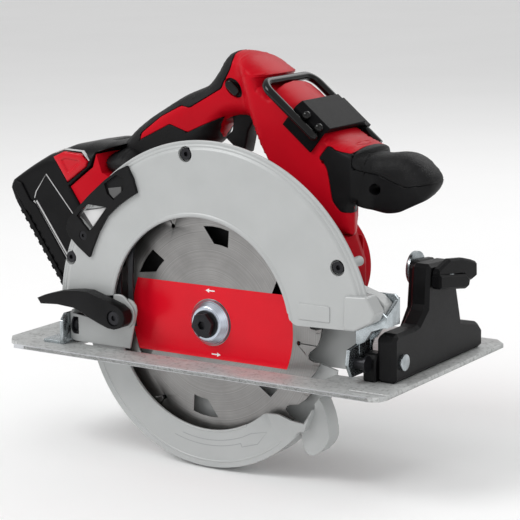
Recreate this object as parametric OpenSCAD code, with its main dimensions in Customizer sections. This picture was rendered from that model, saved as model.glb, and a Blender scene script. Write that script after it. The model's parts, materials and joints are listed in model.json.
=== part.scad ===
// Cordless circular saw, blade on the right-hand side, motor on the left.
// Millimetres. Origin: centre of the sole's underside rectangle. +X is the cutting
// direction, +Y the motor side, +Z up. Modules are drawn about the arbor axis and
// moved into place by at_arbor(): there x = forward, y = 0 is the blade's mid-plane.

/* [Blade] */
// Blade diameter over the carbide tips
blade_d = 184.15; // [182.5:0.05:185]
// Number of carbide teeth
tooth_count = 24; // [18:1:40]
// Blade plate thickness
plate_t = 1.4; // [1.2:0.1:1.8]
// Saw kerf, the width of a carbide tip
kerf = 2.2; // [2:0.1:2.6]
// Cooling windows in the blade
vent_count = 6; // [3:1:8]

/* [Shoe] */
// Arbor height above the sole at full depth of cut
arbor_h = 28.6; // [28.4:0.1:29]
// Shoe length
shoe_l = 328; // [324:1:332]
// Shoe width
shoe_w = 189; // [186:1:194]
// Shoe plate thickness
shoe_t = 3.2; // [2.8:0.1:3.2]

/* [Guards] */
// Radius of the upper guard's outer wall
guard_r = 131.8; // [131:0.1:133]
// Radius of the window that shows the blade
window_r = 75.2; // [70:0.1:80]
// Outer radius of the lower guard
lower_r = 103; // [101:0.1:103.5]

/* [Motor] */
// Radius of the motor barrel
motor_r = 45; // [44:0.1:45.2]
// Teeth on the drive gear
gear_teeth = 36; // [30:1:40]
// Teeth on the rotor pinion
pinion_teeth = 9; // [8:1:10]

/* [Hidden] */
$fn = 64;
arbor_x = 4.6;
arbor_y = -55.3;
deck = -arbor_h + shoe_t;
blade_r = blade_d / 2;
hand_y = 54;

// front depth pivot (axis along Y)
piv_x = 132;
piv_z = 23;
pin_r = 4;
// bevel axis (along X)
bev_y = -9;
bev_z = -12;
// depth lever bolt
dep_x = -65;
dep_z = 1;
dep_r = sqrt(pow(piv_x - dep_x, 2) + pow(piv_z - dep_z, 2));
dep_a = 180 + atan2(piv_z - dep_z, piv_x - dep_x);
dep_travel = 27;
// motor axis
mot_x = 8.5;
mot_z = 23.3;
gear_or = 19.5;
pinion_or = 4.9;
run = 0.05;
slip = 0.02;

// ---- frames and extrusion helpers ----

module at_arbor() translate([arbor_x, arbor_y, arbor_h]) children();

// profile in X and Z, drawn between two Y planes
module y_slab(y0, y1)
    translate([0, y1, 0]) rotate([90, 0, 0]) linear_extrude(height = y1 - y0) children();

// profile in Y and Z, drawn between two X planes
module x_slab(x0, x1)
    translate([x0, 0, 0]) rotate([90, 0, 90]) linear_extrude(height = x1 - x0) children();

module y_rod(x, z, y0, y1, r)
    translate([x, y1, z]) rotate([90, 0, 0]) cylinder(r = r, h = y1 - y0);

module y_cone(x, z, y0, y1, r0, r1)
    translate([x, y1, z]) rotate([90, 0, 0]) cylinder(r1 = r1, r2 = r0, h = y1 - y0);

module x_rod(y, z, x0, x1, r)
    translate([x0, y, z]) rotate([0, 90, 0]) cylinder(r = r, h = x1 - x0);

module y_tube(x, z, y0, y1, ro, ri)
    difference() {
        y_rod(x, z, y0, y1, ro);
        y_rod(x, z, y0 - 1, y1 + 1, ri);
    }

// battery frame: x along the sliding direction, z square to the rails
pack_x = -138;
pack_z = 84;
pack_tilt = 55;
module pack_frame() translate([pack_x, 0, pack_z]) rotate([0, pack_tilt, 0]) children();

// column frame: x down the sloping column, z square to its top
col_x = 66;
col_z = 145;
col_tilt = 39.5;
module col_frame() translate([col_x, 0, col_z]) rotate([0, col_tilt, 0]) children();

function polar(r, a) = [r * cos(a), r * sin(a)];

// ---- upper guard ----

guard_cx = 8.5;
guard_cz = -0.5;
near_y = -17;
wall_t = 2.5;
far_y = 15;
screw_pts = [[-8, 121], [-112.5, 39], [114, 53]];

module guard_clip()
    polygon([[-135, 13.5], [-75, 11], [0, 8], [75, 10], [128, 11.5], [141, 19], [144, 25],
        [142, 60], [142, 140], [-135, 140]]);

module guard_outline()
    intersection() {
        translate([guard_cx, guard_cz]) circle(r = guard_r);
        guard_clip();
    }

module chute_window()
    polygon([[-103, 70], [-97, 75.5], [-76, 79], [-88, 63], [-92, 60]]);

module upper_guard() color("silver") at_arbor() {
    difference() {
        union() {
            y_slab(near_y, near_y + wall_t) difference() {
                guard_outline();
                translate([0.6, 2.2]) circle(r = window_r);
                chute_window();
            }
            y_slab(near_y, near_y + wall_t) {
                translate([dep_x, dep_z]) circle(r = 9);
                polygon([[-90, 12], [-90, 4], [-70, -6], [-58, 6], [-66, 16]]);
            }
            y_slab(near_y + wall_t, far_y - wall_t) difference() {
                guard_outline();
                translate([guard_cx, guard_cz]) circle(r = guard_r - 2.6);
            }
            y_slab(far_y - wall_t, far_y) difference() {
                union() {
                    guard_outline();
                    circle(r = 25.5);
                }
                circle(r = 23);
            }
            for (p = screw_pts)
                y_rod(p[0], p[1], near_y + wall_t, far_y - wall_t, 6.5);
            y_slab(near_y + wall_t, far_y - wall_t)
                polygon([[107, 11.4], [111.9, 11.4], [111.9, 42], [107, 42]]);
        }
        for (p = screw_pts) {
            y_rod(p[0], p[1], near_y - 1, near_y + 5, 5);
            y_rod(p[0], p[1], near_y, far_y + 1, 2.1);
        }
        translate([112, -5.1, -10]) cube([50, 30, 52]);
        y_rod(dep_x, dep_z, near_y - 1, 0, 3 + slip);
        y_rod(piv_x, piv_z, near_y + 1, 20, pin_r + run);
    }
    difference() {
        union() {
            y_slab(near_y - 2, -5.1)
                polygon([[119, 11.2], [128, 11.5], [141, 18.5], [144, 25], [137, 36], [120, 35]]);
            y_rod(piv_x, piv_z, -2, 10, 10);
            y_slab(-2, 10)
                polygon([[111, 14], [piv_x - 2, 14], [piv_x - 2, 32], [111, 40]]);
        }
        y_rod(piv_x, piv_z, near_y + 1, 20, pin_r + run);
    }
}

module guard_screws() color("dimgray") at_arbor()
    for (p = screw_pts)
        difference() {
            union() {
                y_rod(p[0], p[1], near_y + 1.5, near_y + 4.9, 4);
                y_rod(p[0], p[1], near_y + 4.9, far_y - 0.5, 2);
            }
            y_rod(p[0], p[1], near_y, near_y + 3.5, 1.7);
        }

module spindle_hub() color("silver") at_arbor()
    difference() {
        union() {
            y_rod(0, 0, 7, 12.6, 19.95);
            y_rod(0, 0, 12.5, far_y + 0.1, 22.95);
        }
        y_rod(0, 0, 8, 20, 14.02);
        y_rod(0, 0, 5, 9, 9);
    }

module guard_retainer() color("dimgray") at_arbor() y_tube(0, 0, 6.1, 6.95, 22.5, 17);

module guard_spring() color("gray") at_arbor() y_tube(0, 0, 10.4, 12.3, 24, 21.5);

// ---- gear case and motor ----

module gear_profile(arbor_side, motor_side) {
    circle(r = arbor_side);
    translate([mot_x, mot_z]) circle(r = motor_side);
}

module gear_case() color("gray") at_arbor()
    difference() {
        y_slab(far_y + 0.2, 46) gear_profile(23, motor_r);
        y_slab(far_y, 34) gear_profile(gear_or + 0.8, pinion_or + 1.6);
        y_rod(0, 0, 30, 42, 12.02);
        y_rod(mot_x, mot_z, 30, 37, 7);
        y_rod(mot_x, mot_z, 37.2, 44.5, 9.52);
        y_rod(mot_x, mot_z, 30, 50, 5);
        rotate([0, lock_a, 0]) translate([0, lock_y, 12]) cylinder(r = 2.5 + run, h = 60);
        rotate([0, lock_a, 0]) translate([-8, lock_y - 7, 51.8]) cube([16, 14, 20]);
    }

module arbor_bearings() color("lightsteelblue") at_arbor() {
    y_tube(0, 0, 8.05, 14.9, 14, 6 + run);
    y_tube(0, 0, 35.8, 41.8, 12, 6 + run);
}

module motor_housing() color("red") at_arbor()
    difference() {
        union() {
            y_rod(mot_x, mot_z, 46.2, 118, motor_r);
            for (a = [20, 110, 200, 290])
                translate([mot_x, 0, mot_z]) rotate([0, a, 0]) translate([motor_r - 2, 46.2, -5])
                    cube([4, 71.8, 10]);
        }
        y_rod(mot_x, mot_z, 40, 130, motor_r - 2.8);
    }

module motor_end_cap() color("black") at_arbor()
    difference() {
        union() {
            y_rod(mot_x, mot_z, 118.2, 132, motor_r);
            y_cone(mot_x, mot_z, 132, 142, motor_r, motor_r - 7);
        }
        y_rod(mot_x, mot_z, 117, 130, motor_r - 3);
        for (a = [0:20:340])
            translate([mot_x, 0, mot_z]) rotate([0, a, 0]) translate([20, 128, -2])
                cube([16, 30, 4]);
        y_rod(mot_x, mot_z, 129, 137, 9.52);
        cap_screw_places() y_rod(cap_screw_r, 0, 136, 145, 2.5);
    }

cap_screw_r = 34.5;

module cap_screw_places()
    for (a = [10, 100, 190, 280])
        translate([mot_x, 0, mot_z]) rotate([0, a, 0]) children();

module end_cap_screws() color("dimgray") at_arbor()
    cap_screw_places()
        difference() {
            y_rod(cap_screw_r, 0, 136.1, 138.5, 2.4);
            y_rod(cap_screw_r, 0, 137.5, 140, 1.1);
        }

module stator() color("darkorange") at_arbor()
    difference() {
        y_rod(mot_x, mot_z, 56, 98, motor_r - 2.85);
        y_rod(mot_x, mot_z, 50, 105, 19.5);
        for (a = [0:60:300])
            translate([mot_x, 0, mot_z]) rotate([0, a, 0]) translate([24, 50, -4])
                cube([12, 60, 8]);
    }

module motor_bearings() color("lightsteelblue") at_arbor() {
    y_tube(mot_x, mot_z, 37.4, 44.3, 9.5, 4 + run);
    y_tube(mot_x, mot_z, 130.1, 136.9, 9.5, 4 + run);
}

module controller_block()
    polygon([[30, 72], [62, 68], [96, 65], [102, 53], [102, 24], [99, -13], [90, -21.5], [38, -21.5]]);

module controller_housing() color("red") at_arbor()
    difference() {
        y_slab(24, 66) difference() {
            controller_block();
            translate([mot_x, mot_z]) circle(r = motor_r + 2.5);
        }
        translate([76, 28, -4]) cube([22, 60, 52]);
        translate([74, 63.8, -8]) cube([25, 10, 60]);
        y_slab(20, 70) polygon([[20, 80], [20, 63.6], [60, 65.8], [99, 65.1], [99, 80]]);
    }

module controller_cover() color("red") at_arbor()
    translate([74.2, 63.9, -7.8]) cube([24.6, 2, 59.6]);

module controller_board() color("green") at_arbor() {
    translate([80, 29, -2]) cube([1.6, 33, 48]);
    translate([81.65, 36, 4]) cube([10, 18, 14]);
    translate([81.65, 36, 24]) cube([10, 18, 14]);
}

// ---- handle, column and foot ----

module handle_full()
    polygon([[-113, 111], [-100, 124], [-87, 134], [-70, 144], [-52, 154], [-31, 162], [-26, 167],
        [-18, 178], [-14, 184], [-8, 187.6], [2, 187.4], [9, 185], [29, 173], [32, 168],
        [32, 100], [60, 67], [-10, 62], [-60, 60], [-85, 88]]);

module column_full()
    polygon([[6, 172], [29, 172.6], [38, 166], [55, 153.5], [78, 135], [88, 129.5], [97, 126.5],
        [86, 123.5], [76, 117], [79, 110], [83, 89], [90, 81.5], [98.5, 81], [98.5, 65.4],
        [60, 66.3], [28, 110], [13, 133], [6, 138]]);

module finger_opening()
    polygon([[-23, 123], [-22, 129], [-14, 137], [-3, 141], [8, 140], [13, 133], [28, 110],
        [46, 88], [40, 81], [-20, 78], [-52, 85], [-68, 97], [-62, 104], [-32, 116]]);

module grip_black() {
    polygon([[-5.5, 190], [-14, 190], [-30, 175], [-60, 156], [-90, 138], [-120, 112],
        [-108, 97], [-98, 106], [-87, 119.5], [-86, 125], [-69, 138], [-50, 147], [-42, 146],
        [-14, 161], [-11, 167], [-6, 175], [-5, 180]]);
    polygon([[-100, 110], [-86.6, 120.2], [-60, 133], [-44, 128], [-14, 141], [-20, 134], [-22.5, 129],
        [-23.5, 122], [-32, 115], [-60, 103], [-69, 97], [-84, 88], [-108, 96]]);
}

module handle_cuts(y0, y1) {
    y_slab(y0 - 30, y1 + 30) finger_opening();
    y_slab(hand_y - 9, hand_y + 9)
        polygon([[-16, 136], [-16, 158], [10, 158], [10, 136]]);
    y_rod(lock_off_x, lock_off_z, 20, 90, 4 + run);
    y_slab(10, 38.5) lock_off_recess();
    y_rod(mot_x, mot_z, 0, 130, motor_r + 2.5);
    col_frame() translate([-46.5, 0, -9]) cube([9.5, 110, 30]);
}

module handle_right() color("red") at_arbor()
    difference() {
        union() {
            y_slab(hand_y - 17, hand_y - 0.05) difference() {
                handle_full();
                grip_black();
            }
            y_slab(hand_y - 27, hand_y - 0.05) column_full();
        }
        handle_cuts(20, hand_y);
    }

module handle_left() color("red") at_arbor()
    difference() {
        union() {
            y_slab(hand_y + 0.05, hand_y + 17) difference() {
                handle_full();
                grip_black();
            }
            y_slab(hand_y + 0.05, hand_y + 27) column_full();
        }
        handle_cuts(hand_y, 90);
        for (p = handle_screw_pts)
            y_rod(p[0], p[1], hand_y + p[2] - 3, hand_y + 40, 3.6);
    }

module grip_overmould() color("black") at_arbor()
    difference() {
        y_slab(hand_y - 17.4, hand_y + 17.4) intersection() {
            handle_full();
            grip_black();
        }
        y_slab(20, 90) finger_opening();
        y_slab(hand_y - 9, hand_y + 9)
            polygon([[-16, 136], [-16, 158], [10, 158], [10, 136]]);
    }

handle_screw_pts = [[38, 150, 27], [3, 176, 17], [70, 100, 27]];

module handle_screws() color("dimgray") at_arbor()
    for (p = handle_screw_pts)
        difference() {
            y_rod(p[0], p[1], hand_y + p[2] - 2.9, hand_y + p[2] - 0.6, 3.4);
            y_rod(p[0], p[1], hand_y + p[2] - 2, hand_y + p[2], 1.4);
        }

module foot_profile()
    polygon([[-138, 84.2], [-116.4, 100.2], [-113, 110], [-108.2, 96.4], [-84.9, 87.2], [-60.6, 59.2],
        [-30, 60], [-23, 40], [-28, -6], [-50, 0], [-88.2, 13]]);

module battery_foot() color("red") at_arbor()
    difference() {
        y_slab(hand_y - 36, hand_y + 36) foot_profile();
        pack_frame() translate([-20, hand_y - 22, -20]) cube([92, 44, 34]);
        pack_frame() translate([-40, 0, -60]) cube([140, 110, 60.2]);
        y_rod(mot_x, mot_z, 0, 130, motor_r + 2.5);
        rotate([0, lock_a, 0]) translate([-9, 10, 40]) cube([18, 32, 24]);
        y_slab(0, 130) polygon([[-60.6, 59.2], [-29, 60.5], [-29, 70], [-60.6, 70]]);
    }

module battery_rails() color("lightsteelblue") at_arbor() pack_frame()
    for (s = [-1, 1])
        translate([2, hand_y + s * 19.95 - 2, 0.6]) cube([64, 4, 3]);

module terminal_block() color("black") at_arbor() pack_frame() {
    translate([62.5, hand_y - 15, 4.5]) cube([8, 30, 9]);
    for (s = [-10, 0, 10])
        translate([44, hand_y + s - 0.6, 8]) cube([18.5, 1.2, 5]);
}

module switch_module() color("black") at_arbor()
    y_slab(hand_y - 8, hand_y + 8)
        polygon([[-14, 152.8], [-14, 157.4], [9, 157.4], [9, 152.8]]);

// ---- trigger, lock-off and spindle lock ----

lock_off_x = -3.5;
lock_off_z = 161.5;
lock_a = -35;
lock_y = 33;

module lock_off_recess()
    polygon([[-13, 166], [-9, 169], [2, 166], [6, 159], [3, 154], [-4, 154.5]]);

module trigger() color("black") at_arbor()
    y_slab(hand_y - 7, hand_y + 7)
        polygon([[-12, 141.5], [-12, 147], [8.6, 147], [8.6, 141.5], [6, 137], [2, 131], [0, 122], [-2, 114],
            [-7, 116], [-13, 120.5], [-18, 124.5], [-12, 130], [-11, 136]]);

module lock_off() color("black") at_arbor() {
    y_rod(lock_off_x, lock_off_z, 34.5, hand_y + 17.6, 4);
    y_slab(34.2, 36.2)
        polygon([[-11.5, 165.5], [-9, 167.4], [-3, 163], [3.5, 158.4], [2, 155.6], [-3, 156.4]]);
}

module spindle_lock() color("black") at_arbor() rotate([0, lock_a, 0]) {
    translate([0, lock_y, 16]) cylinder(r = 2.5, h = 40);
    translate([0, lock_y, 55.3]) cylinder(r = 6, h = 4.7);
}

// ---- front handle ----

module front_handle() color("black") at_arbor()
    difference() {
        union() {
            y_slab(hand_y - 27, hand_y + 27)
                polygon([[86.2, 123.2], [97, 126], [104, 125.5], [106, 112], [103, 92], [98, 86],
                    [98.5, 81.4], [90.3, 81.9], [83.5, 89.2], [79.4, 110.2], [76.6, 117]]);
            y_slab(hand_y - 17, hand_y + 17)
                polygon([[98, 87], [108, 83], [118, 81], [127, 83], [146, 94], [150, 98], [152, 103.6],
                    [135, 100.2], [119, 105.8], [102, 110.8], [98, 111]]);
        }
        y_rod(112, 98, 20, 60, 4);
    }

module front_grip() color("dimgray") at_arbor()
    y_slab(hand_y - 17, hand_y + 17)
        difference() {
            polygon([[100, 121], [113, 121], [127, 123], [137, 121], [145, 115], [151, 108],
                [152, 104], [135, 100.6], [119, 106.2], [102, 111.2], [100, 111.4]]);
            polygon([[90, 126], [104, 125.6], [106.1, 112], [105.6, 108], [90, 108]]);
        }

// ---- dust chute ----

module dust_chute() color("black") at_arbor()
    difference() {
        y_slab(near_y - 2.6, near_y - 0.1)
            polygon([[-57, 110], [-52, 101], [-49, 91], [-64, 82], [-76, 72], [-84, 60], [-90, 48],
                [-93, 41], [-103, 48], [-111, 55], [-114, 59], [-111, 67], [-103, 76], [-91, 88],
                [-77, 100], [-65, 107]]);
        y_slab(near_y - 4, near_y) chute_window();
        y_rod(-98, 56.5, near_y - 3, near_y, 3.4);
    }

module chute_screw() color("dimgray") at_arbor()
    difference() {
        y_rod(-98, 56.5, near_y - 1.8, near_y - 0.1, 3.3);
        y_rod(-98, 56.5, near_y - 3, near_y - 0.8, 1.4);
    }

// ---- rafter hook and its saddle ----

hook_far = 86.5;
hook_near = 21.6;
hook_z = -4.5;
wire_r = 3.1;
hook_bend = 10;
hook_bar = -42;

module hook_saddle() color("black") at_arbor() col_frame()
    difference() {
        x_slab(-13, 16) difference() {
            polygon([[24.9, -20], [24.9, 0], [29, 4.8], [77, 4.8], [83.2, -0.4], [90.6, -0.4],
                [90.6, -9], [83.2, -9], [83.2, -20]]);
            polygon([[26.9, -30], [26.9, 0.4], [81.1, 0.4], [81.1, -30]]);
        }
        x_rod(hook_far, hook_z, -20, 20, wire_r + run);
        for (x = [-4, 10])
            y_rod(x, -10, 20, 30, 2.5);
    }

module saddle_screws() color("black") at_arbor() col_frame()
    for (x = [-4, 10])
        y_rod(x, -10, 24.95, 26.8, 2.4);

module rafter_hook() color("black") at_arbor() col_frame() {
    x_rod(hook_far, hook_z, hook_bar + hook_bend, 31, wire_r);
    x_rod(hook_near, hook_z, hook_bar + hook_bend, 12, wire_r);
    y_rod(hook_bar, hook_z, hook_near + hook_bend, hook_far - hook_bend, wire_r);
    translate([hook_bar + hook_bend, hook_far - hook_bend, hook_z])
        rotate([0, 0, 90]) rotate_extrude(angle = 90) translate([hook_bend, 0]) circle(r = wire_r);
    translate([hook_bar + hook_bend, hook_near + hook_bend, hook_z])
        rotate([0, 0, 180]) rotate_extrude(angle = 90) translate([hook_bend, 0]) circle(r = wire_r);
    translate([12, hook_near, hook_z]) sphere(r = wire_r);
}

// ---- spindle, blade and clamping hardware ----

module arbor_shaft() color("lightsteelblue") at_arbor()
    difference() {
        y_rod(0, 0, -4, 41.5, 6);
        y_rod(0, 0, -5, 14, 4.02);
    }

module drive_gear() color("gray") at_arbor()
    difference() {
        y_slab(19, 29) union() {
            circle(r = gear_or - 1.2);
            for (i = [0:gear_teeth - 1])
                rotate(i * 360 / gear_teeth)
                    polygon([[gear_or - 2, -1.1], [gear_or, -0.5], [gear_or, 0.5], [gear_or - 2, 1.1]]);
        }
        y_rod(0, 0, 10, 40, 6 + slip);
    }

module inner_flange() color("lightsteelblue") at_arbor()
    difference() {
        union() {
            y_rod(0, 0, plate_t / 2 + slip, 5.4, 16.5);
            y_rod(0, 0, -plate_t / 2 + 0.1, 2, 7.9);
        }
        y_rod(0, 0, -5, 10, 6 + slip);
    }

module tooth_tip()
    polygon([[87.4, -0.3], [blade_r, 0.9], [blade_r - 0.5, -1.5], [87.4, -2.4]]);

// one tooth of the plate: back, seat for the tip, gullet
function tooth(a) = [polar(84.5, a - 10), polar(88, a - 7.6), polar(90.4, a - 3.6),
    polar(91.3, a - 1.2), polar(87.3, a - 1.8), polar(87.3, a - 0.2), polar(82.8, a + 0.3),
    polar(82, a + 2.2), polar(83, a + 4)];

function all_teeth() = [for (i = [0:tooth_count - 1]) for (p = tooth(i * 360 / tooth_count + 3)) p];

module blade() color("silver") at_arbor()
    y_slab(-plate_t / 2, plate_t / 2)
        difference() {
            polygon(all_teeth());
            circle(r = 7.94);
            for (i = [0:vent_count - 1])
                rotate(i * 360 / vent_count)
                    polygon([polar(68.8, 76), polar(69.1, 82), polar(69.1, 88), polar(68.8, 94),
                        polar(56.8, 86), polar(56.9, 80), polar(56.8, 74)]);
            for (a = [115, -5, -125]) {
                rotate(a) translate([73.3, 0]) circle(r = 1.6);
                rotate(a) polygon([[73, -0.35], [95, 1], [95, 1.7], [73, 0.35]]);
            }
        }

module carbide_tips() color("dimgray") at_arbor()
    y_slab(-kerf / 2, kerf / 2)
        for (i = [0:tooth_count - 1])
            rotate(i * 360 / tooth_count + 3) tooth_tip();

module outer_flange() color("lightsteelblue") at_arbor()
    difference() {
        union() {
            y_rod(0, 0, -2.2, -plate_t / 2 - slip, 16.2);
            y_cone(0, 0, -7, -2.2, 12, 16.2);
        }
        y_rod(0, 0, -10, 5, 6 + slip);
    }

module blade_bolt() color("black") at_arbor()
    difference() {
        union() {
            y_rod(0, 0, -8.2, -7.02, 9.9);
            y_slab(-12.4, -8.1) rotate(12) circle(r = 8.9, $fn = 6);
            y_rod(0, 0, -7.1, 12, 4);
        }
        y_slab(-14, -9.6) circle(r = 3.3, $fn = 6);
    }

module rotor_shaft() color("lightsteelblue") at_arbor() {
    y_slab(18, 31) translate([mot_x, mot_z]) union() {
        circle(r = pinion_or - 0.8);
        for (i = [0:pinion_teeth - 1])
            rotate(i * 360 / pinion_teeth)
                polygon([[pinion_or - 1.6, -1], [pinion_or, -0.45], [pinion_or, 0.45], [pinion_or - 1.6, 1]]);
    }
    y_rod(mot_x, mot_z, 30.9, 137, 4);
}

module rotor_core() color("dimgray") at_arbor() y_tube(mot_x, mot_z, 58, 96, 18.8, 4 + slip);

module fan() color("black") at_arbor()
    difference() {
        union() {
            y_rod(mot_x, mot_z, 103, 105, 38);
            y_rod(mot_x, mot_z, 103, 116, 9);
            for (a = [0:30:330])
                translate([mot_x, 0, mot_z]) rotate([0, a, 0]) translate([12, 104, -0.8])
                    cube([25, 11, 1.6]);
        }
        y_rod(mot_x, mot_z, 100, 120, 4 + slip);
    }

// ---- lower guard ----

module sector(r, a0, a1)
    polygon(concat([[0, 0]], [for (i = [0:12]) polar(r, a0 + (a1 - a0) * i / 12)]));

module lower_near()
    difference() {
        intersection() {
            circle(r = lower_r);
            sector(140, -188, -30);
        }
        circle(r = 76);
        polygon([[45, -40], [45, -59.5], [52, -57], [61, -56.5], [72, -59.6], [92, -61.5], [120, -50],
            [120, 0], [60, 0]]);
    }

module lower_guard() color("silver") at_arbor() {
    difference() {
        union() {
            y_slab(-9.6, -7.6) lower_near();
            y_slab(-7.7, 8.1) difference() {
                intersection() {
                    circle(r = lower_r);
                    sector(140, -188, -27);
                }
                circle(r = lower_r - 2.2);
            }
            y_slab(8, 10) difference() {
                union() {
                    intersection() {
                        circle(r = lower_r);
                        sector(140, -188, -14);
                    }
                    circle(r = 27);
                }
                circle(r = 19.95 + 0.07);
            }
        }
        y_slab(-12, 12) translate([112, -28]) circle(r = 14);
    }
    y_slab(-9.6, 10)
        polygon([[78, -65.8], [76.5, -69], [76.2, -73], [77.6, -78], [80.2, -82], [83, -83.8],
            [86.5, -83.6], [90.5, -81], [94.5, -77], [97.3, -73], [98.6, -69], [98.4, -64],
            [96.5, -57.5], [93.5, -52], [90, -48], [88, -53]]);
}

// ---- depth adjustment ----

module depth_bolt() color("dimgray") at_arbor()
    difference() {
        union() {
            y_rod(dep_x, dep_z, -28.6, -26, 5);
            y_rod(dep_x, dep_z, -26.1, -11.5, 3);
            y_rod(dep_x, dep_z, -11.6, -10.2, 6.5);
        }
        y_rod(dep_x, dep_z, -30, -27, 2);
    }

module depth_lever() color("black") at_arbor()
    difference() {
        union() {
            y_slab(-29.5, -20)
                polygon([[-134, 9], [-127, 12], [-120, 14], [-108, 16.6], [-96, 18], [-88, 18],
                    [-76, 14.6], [-61, 10], [-56.4, 7], [-54.8, 3], [-56, -2], [-59, -5.4], [-64, -7],
                    [-70, -6.6], [-78, -4], [-87, -0.6], [-94, 3], [-101, 5], [-116, 6], [-131, 5]]);
            y_rod(dep_x, dep_z, -20.1, -17.3, 8);
        }
        y_rod(dep_x, dep_z, -31, -25.9, 5.6);
        y_rod(dep_x, dep_z, -27, -10, 3 + run);
    }

module pivot_outline()
    polygon([[121, -8], [124, -8], [124, 0], [128, 2], [133, 9.5], [145, 14], [145, 30], [142, 33],
        [124, 33], [121, 30]]);

module front_pivot_bracket() color("lightsteelblue") at_arbor()
    difference() {
        union() {
            y_slab(-4.8, -2.3)
                polygon([[121, -8], [124, -8], [124, 0], [128, 2], [133, 9.5], [145, 14], [145, 20],
                    [138, 25.5], [132, 30], [125, 27], [121, 12]]);
            y_slab(10.3, 12.8) pivot_outline();
            x_slab(142.6, 145) polygon([[-4.8, 13], [-4.8, 20], [12.8, 31], [12.8, 13]]);
            x_slab(121, 123.5)
                polygon([[-4.8, 5], [-4.8, 0], [-17, -2], [-19, -12], [-14, -21], [12.8, -21], [12.8, 5]]);
        }
        y_rod(piv_x, piv_z, -10, 20, pin_r + slip);
        x_rod(bev_y, bev_z, 100, 140, pin_r + slip);
    }

module front_pivot_pin() color("lightsteelblue") at_arbor() {
    y_rod(piv_x, piv_z, -15.5, 13.6, pin_r);
    y_rod(piv_x, piv_z, 13.1, 15, 6);
}

module depth_bracket() color("silver") at_arbor()
    difference() {
        union() {
            y_slab(-14.3, -13.1)
                polygon([[-116, -22], [-112, -23.6], [-62, -23.6], [-58.5, -9], [-56, 0], [-55.1, 5], [-55.8, 8.6],
                    [-58.4, 11.4], [-62.5, 12.8], [-77, 13], [-84, -2], [-98, -5], [-116, -3]]);
            x_slab(-116, -113.5)
                polygon([[-14.3, -3], [-14.3, -21.6], [-12, -23.6], [2, -23.6], [8, -18], [8, -6], [2, -1], [-12, -1]]);
        }
        y_slab(-16, -12.5) {
            arc_band(0, dep_travel, dep_r - 3.3, dep_r + 3.3);
            translate([dep_x, dep_z]) circle(r = 3.3);
        }
        x_rod(bev_y, bev_z, -130, -100, pin_r + slip);
        x_rod(bev_y, bev_z, -113.5, -108.6, 8.3);
    }

// ring segment about the front depth pivot, angles counted from the lever bolt
module arc_band(a0, a1, r0, r1)
    translate([piv_x, piv_z])
        polygon(concat(
            [for (i = [0:16]) polar(r1, dep_a - a0 - (a1 - a0) * i / 16)],
            [for (i = [16:-1:0]) polar(r0, dep_a - a0 - (a1 - a0) * i / 16)]));

module depth_arc() color("dimgray") at_arbor()
    difference() {
        y_slab(-13.1, -11.9) arc_band(-2.6, dep_travel + 2.6, 191, 206);
        y_slab(-16, -10) {
            arc_band(0, dep_travel, dep_r - 3.15, dep_r + 3.15);
            translate([dep_x, dep_z]) circle(r = 3.15);
            translate([piv_x, piv_z]) rotate(dep_a - dep_travel) translate([dep_r, 0]) circle(r = 3.15);
        }
    }

module bevel_pivots() color("dimgray") at_arbor() {
    x_rod(bev_y, bev_z, -119.9, -112.3, pin_r);
    x_rod(bev_y, bev_z, -113.4, -112.2, 8);
    x_rod(bev_y, bev_z, -112.3, -109, 6.2);
    x_rod(bev_y, bev_z, -123.4, -119.8, 6.5);
    x_rod(bev_y, bev_z, 119.4, 120.95, 6.5);
    x_rod(bev_y, bev_z, 120.9, 131.2, pin_r);
    x_rod(bev_y, bev_z, 131.1, 132.8, 5.5);
}

// ---- shoe and bevel hardware ----

module shoe() color("gainsboro") difference() {
    union() {
        linear_extrude(height = shoe_t) difference() {
            polygon([[-shoe_l / 2 + 28, -shoe_w / 2], [shoe_l / 2 - 8, -shoe_w / 2],
                [shoe_l / 2 - 2, -shoe_w / 2 + 3], [shoe_l / 2, -shoe_w / 2 + 9],
                [shoe_l / 2, shoe_w / 2 - 10], [shoe_l / 2 - 10, shoe_w / 2],
                [-shoe_l / 2 + 18, shoe_w / 2], [-shoe_l / 2, shoe_w / 2 - 18],
                [-shoe_l / 2, -shoe_w / 2 + 20], [-shoe_l / 2 + 8, -shoe_w / 2 + 10]]);
            translate([arbor_x, arbor_y])
                polygon([[-112, -13.5], [101, -13.5], [101, 2], [114, 2], [121, 13], [112, 30],
                    [92, 46], [-98, 46], [-112, 24]]);
        }
    }
    translate([shoe_l / 2 - 30, -shoe_w / 2 + 10, 1.2]) cube([40, 1.6, 5]);
}

module rear_bevel_bracket() color("silver") at_arbor()
    difference() {
        union() {
            x_slab(-119.5, -116.3)
                polygon([[-23, deck], [-23, -8], [-18, -3], [4, -3], [14, -10], [14, deck]]);
            translate([-135, -23, deck]) cube([17, 37, 2.4]);
        }
        x_rod(bev_y, bev_z, -130, -100, pin_r + run);
    }

module bevel_quadrant() color("black") at_arbor()
    difference() {
        union() {
            x_slab(135.4, 150)
                polygon([[-3, deck], [-3, 5], [1, 8], [25, 8], [31, 9], [42, 18], [43, 33], [45, 48],
                    [80, 46], [85, 28], [93, 0], [119, -6], [125, -12], [125, deck]]);
            x_slab(129, 135.5)
                polygon([[52, 30], [52, 48], [80, 46], [83, 30], [90, deck], [40, deck]]);
            x_slab(124.5, 131)
                polygon([[-17, deck], [-17, -10], [-14, -4], [-3, -4], [8, -4], [8, deck]]);
            x_slab(130.9, 135.5) polygon([[-3, deck], [-3, -4], [8, -4], [8, deck]]);
        }
        x_rod(bev_y, bev_z, 100, 145, pin_r + run);
        x_rod(66, 38, 120, 160, 3.02);
        x_rod(8, bev_z, 140, 160, 4.02);
    }

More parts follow.
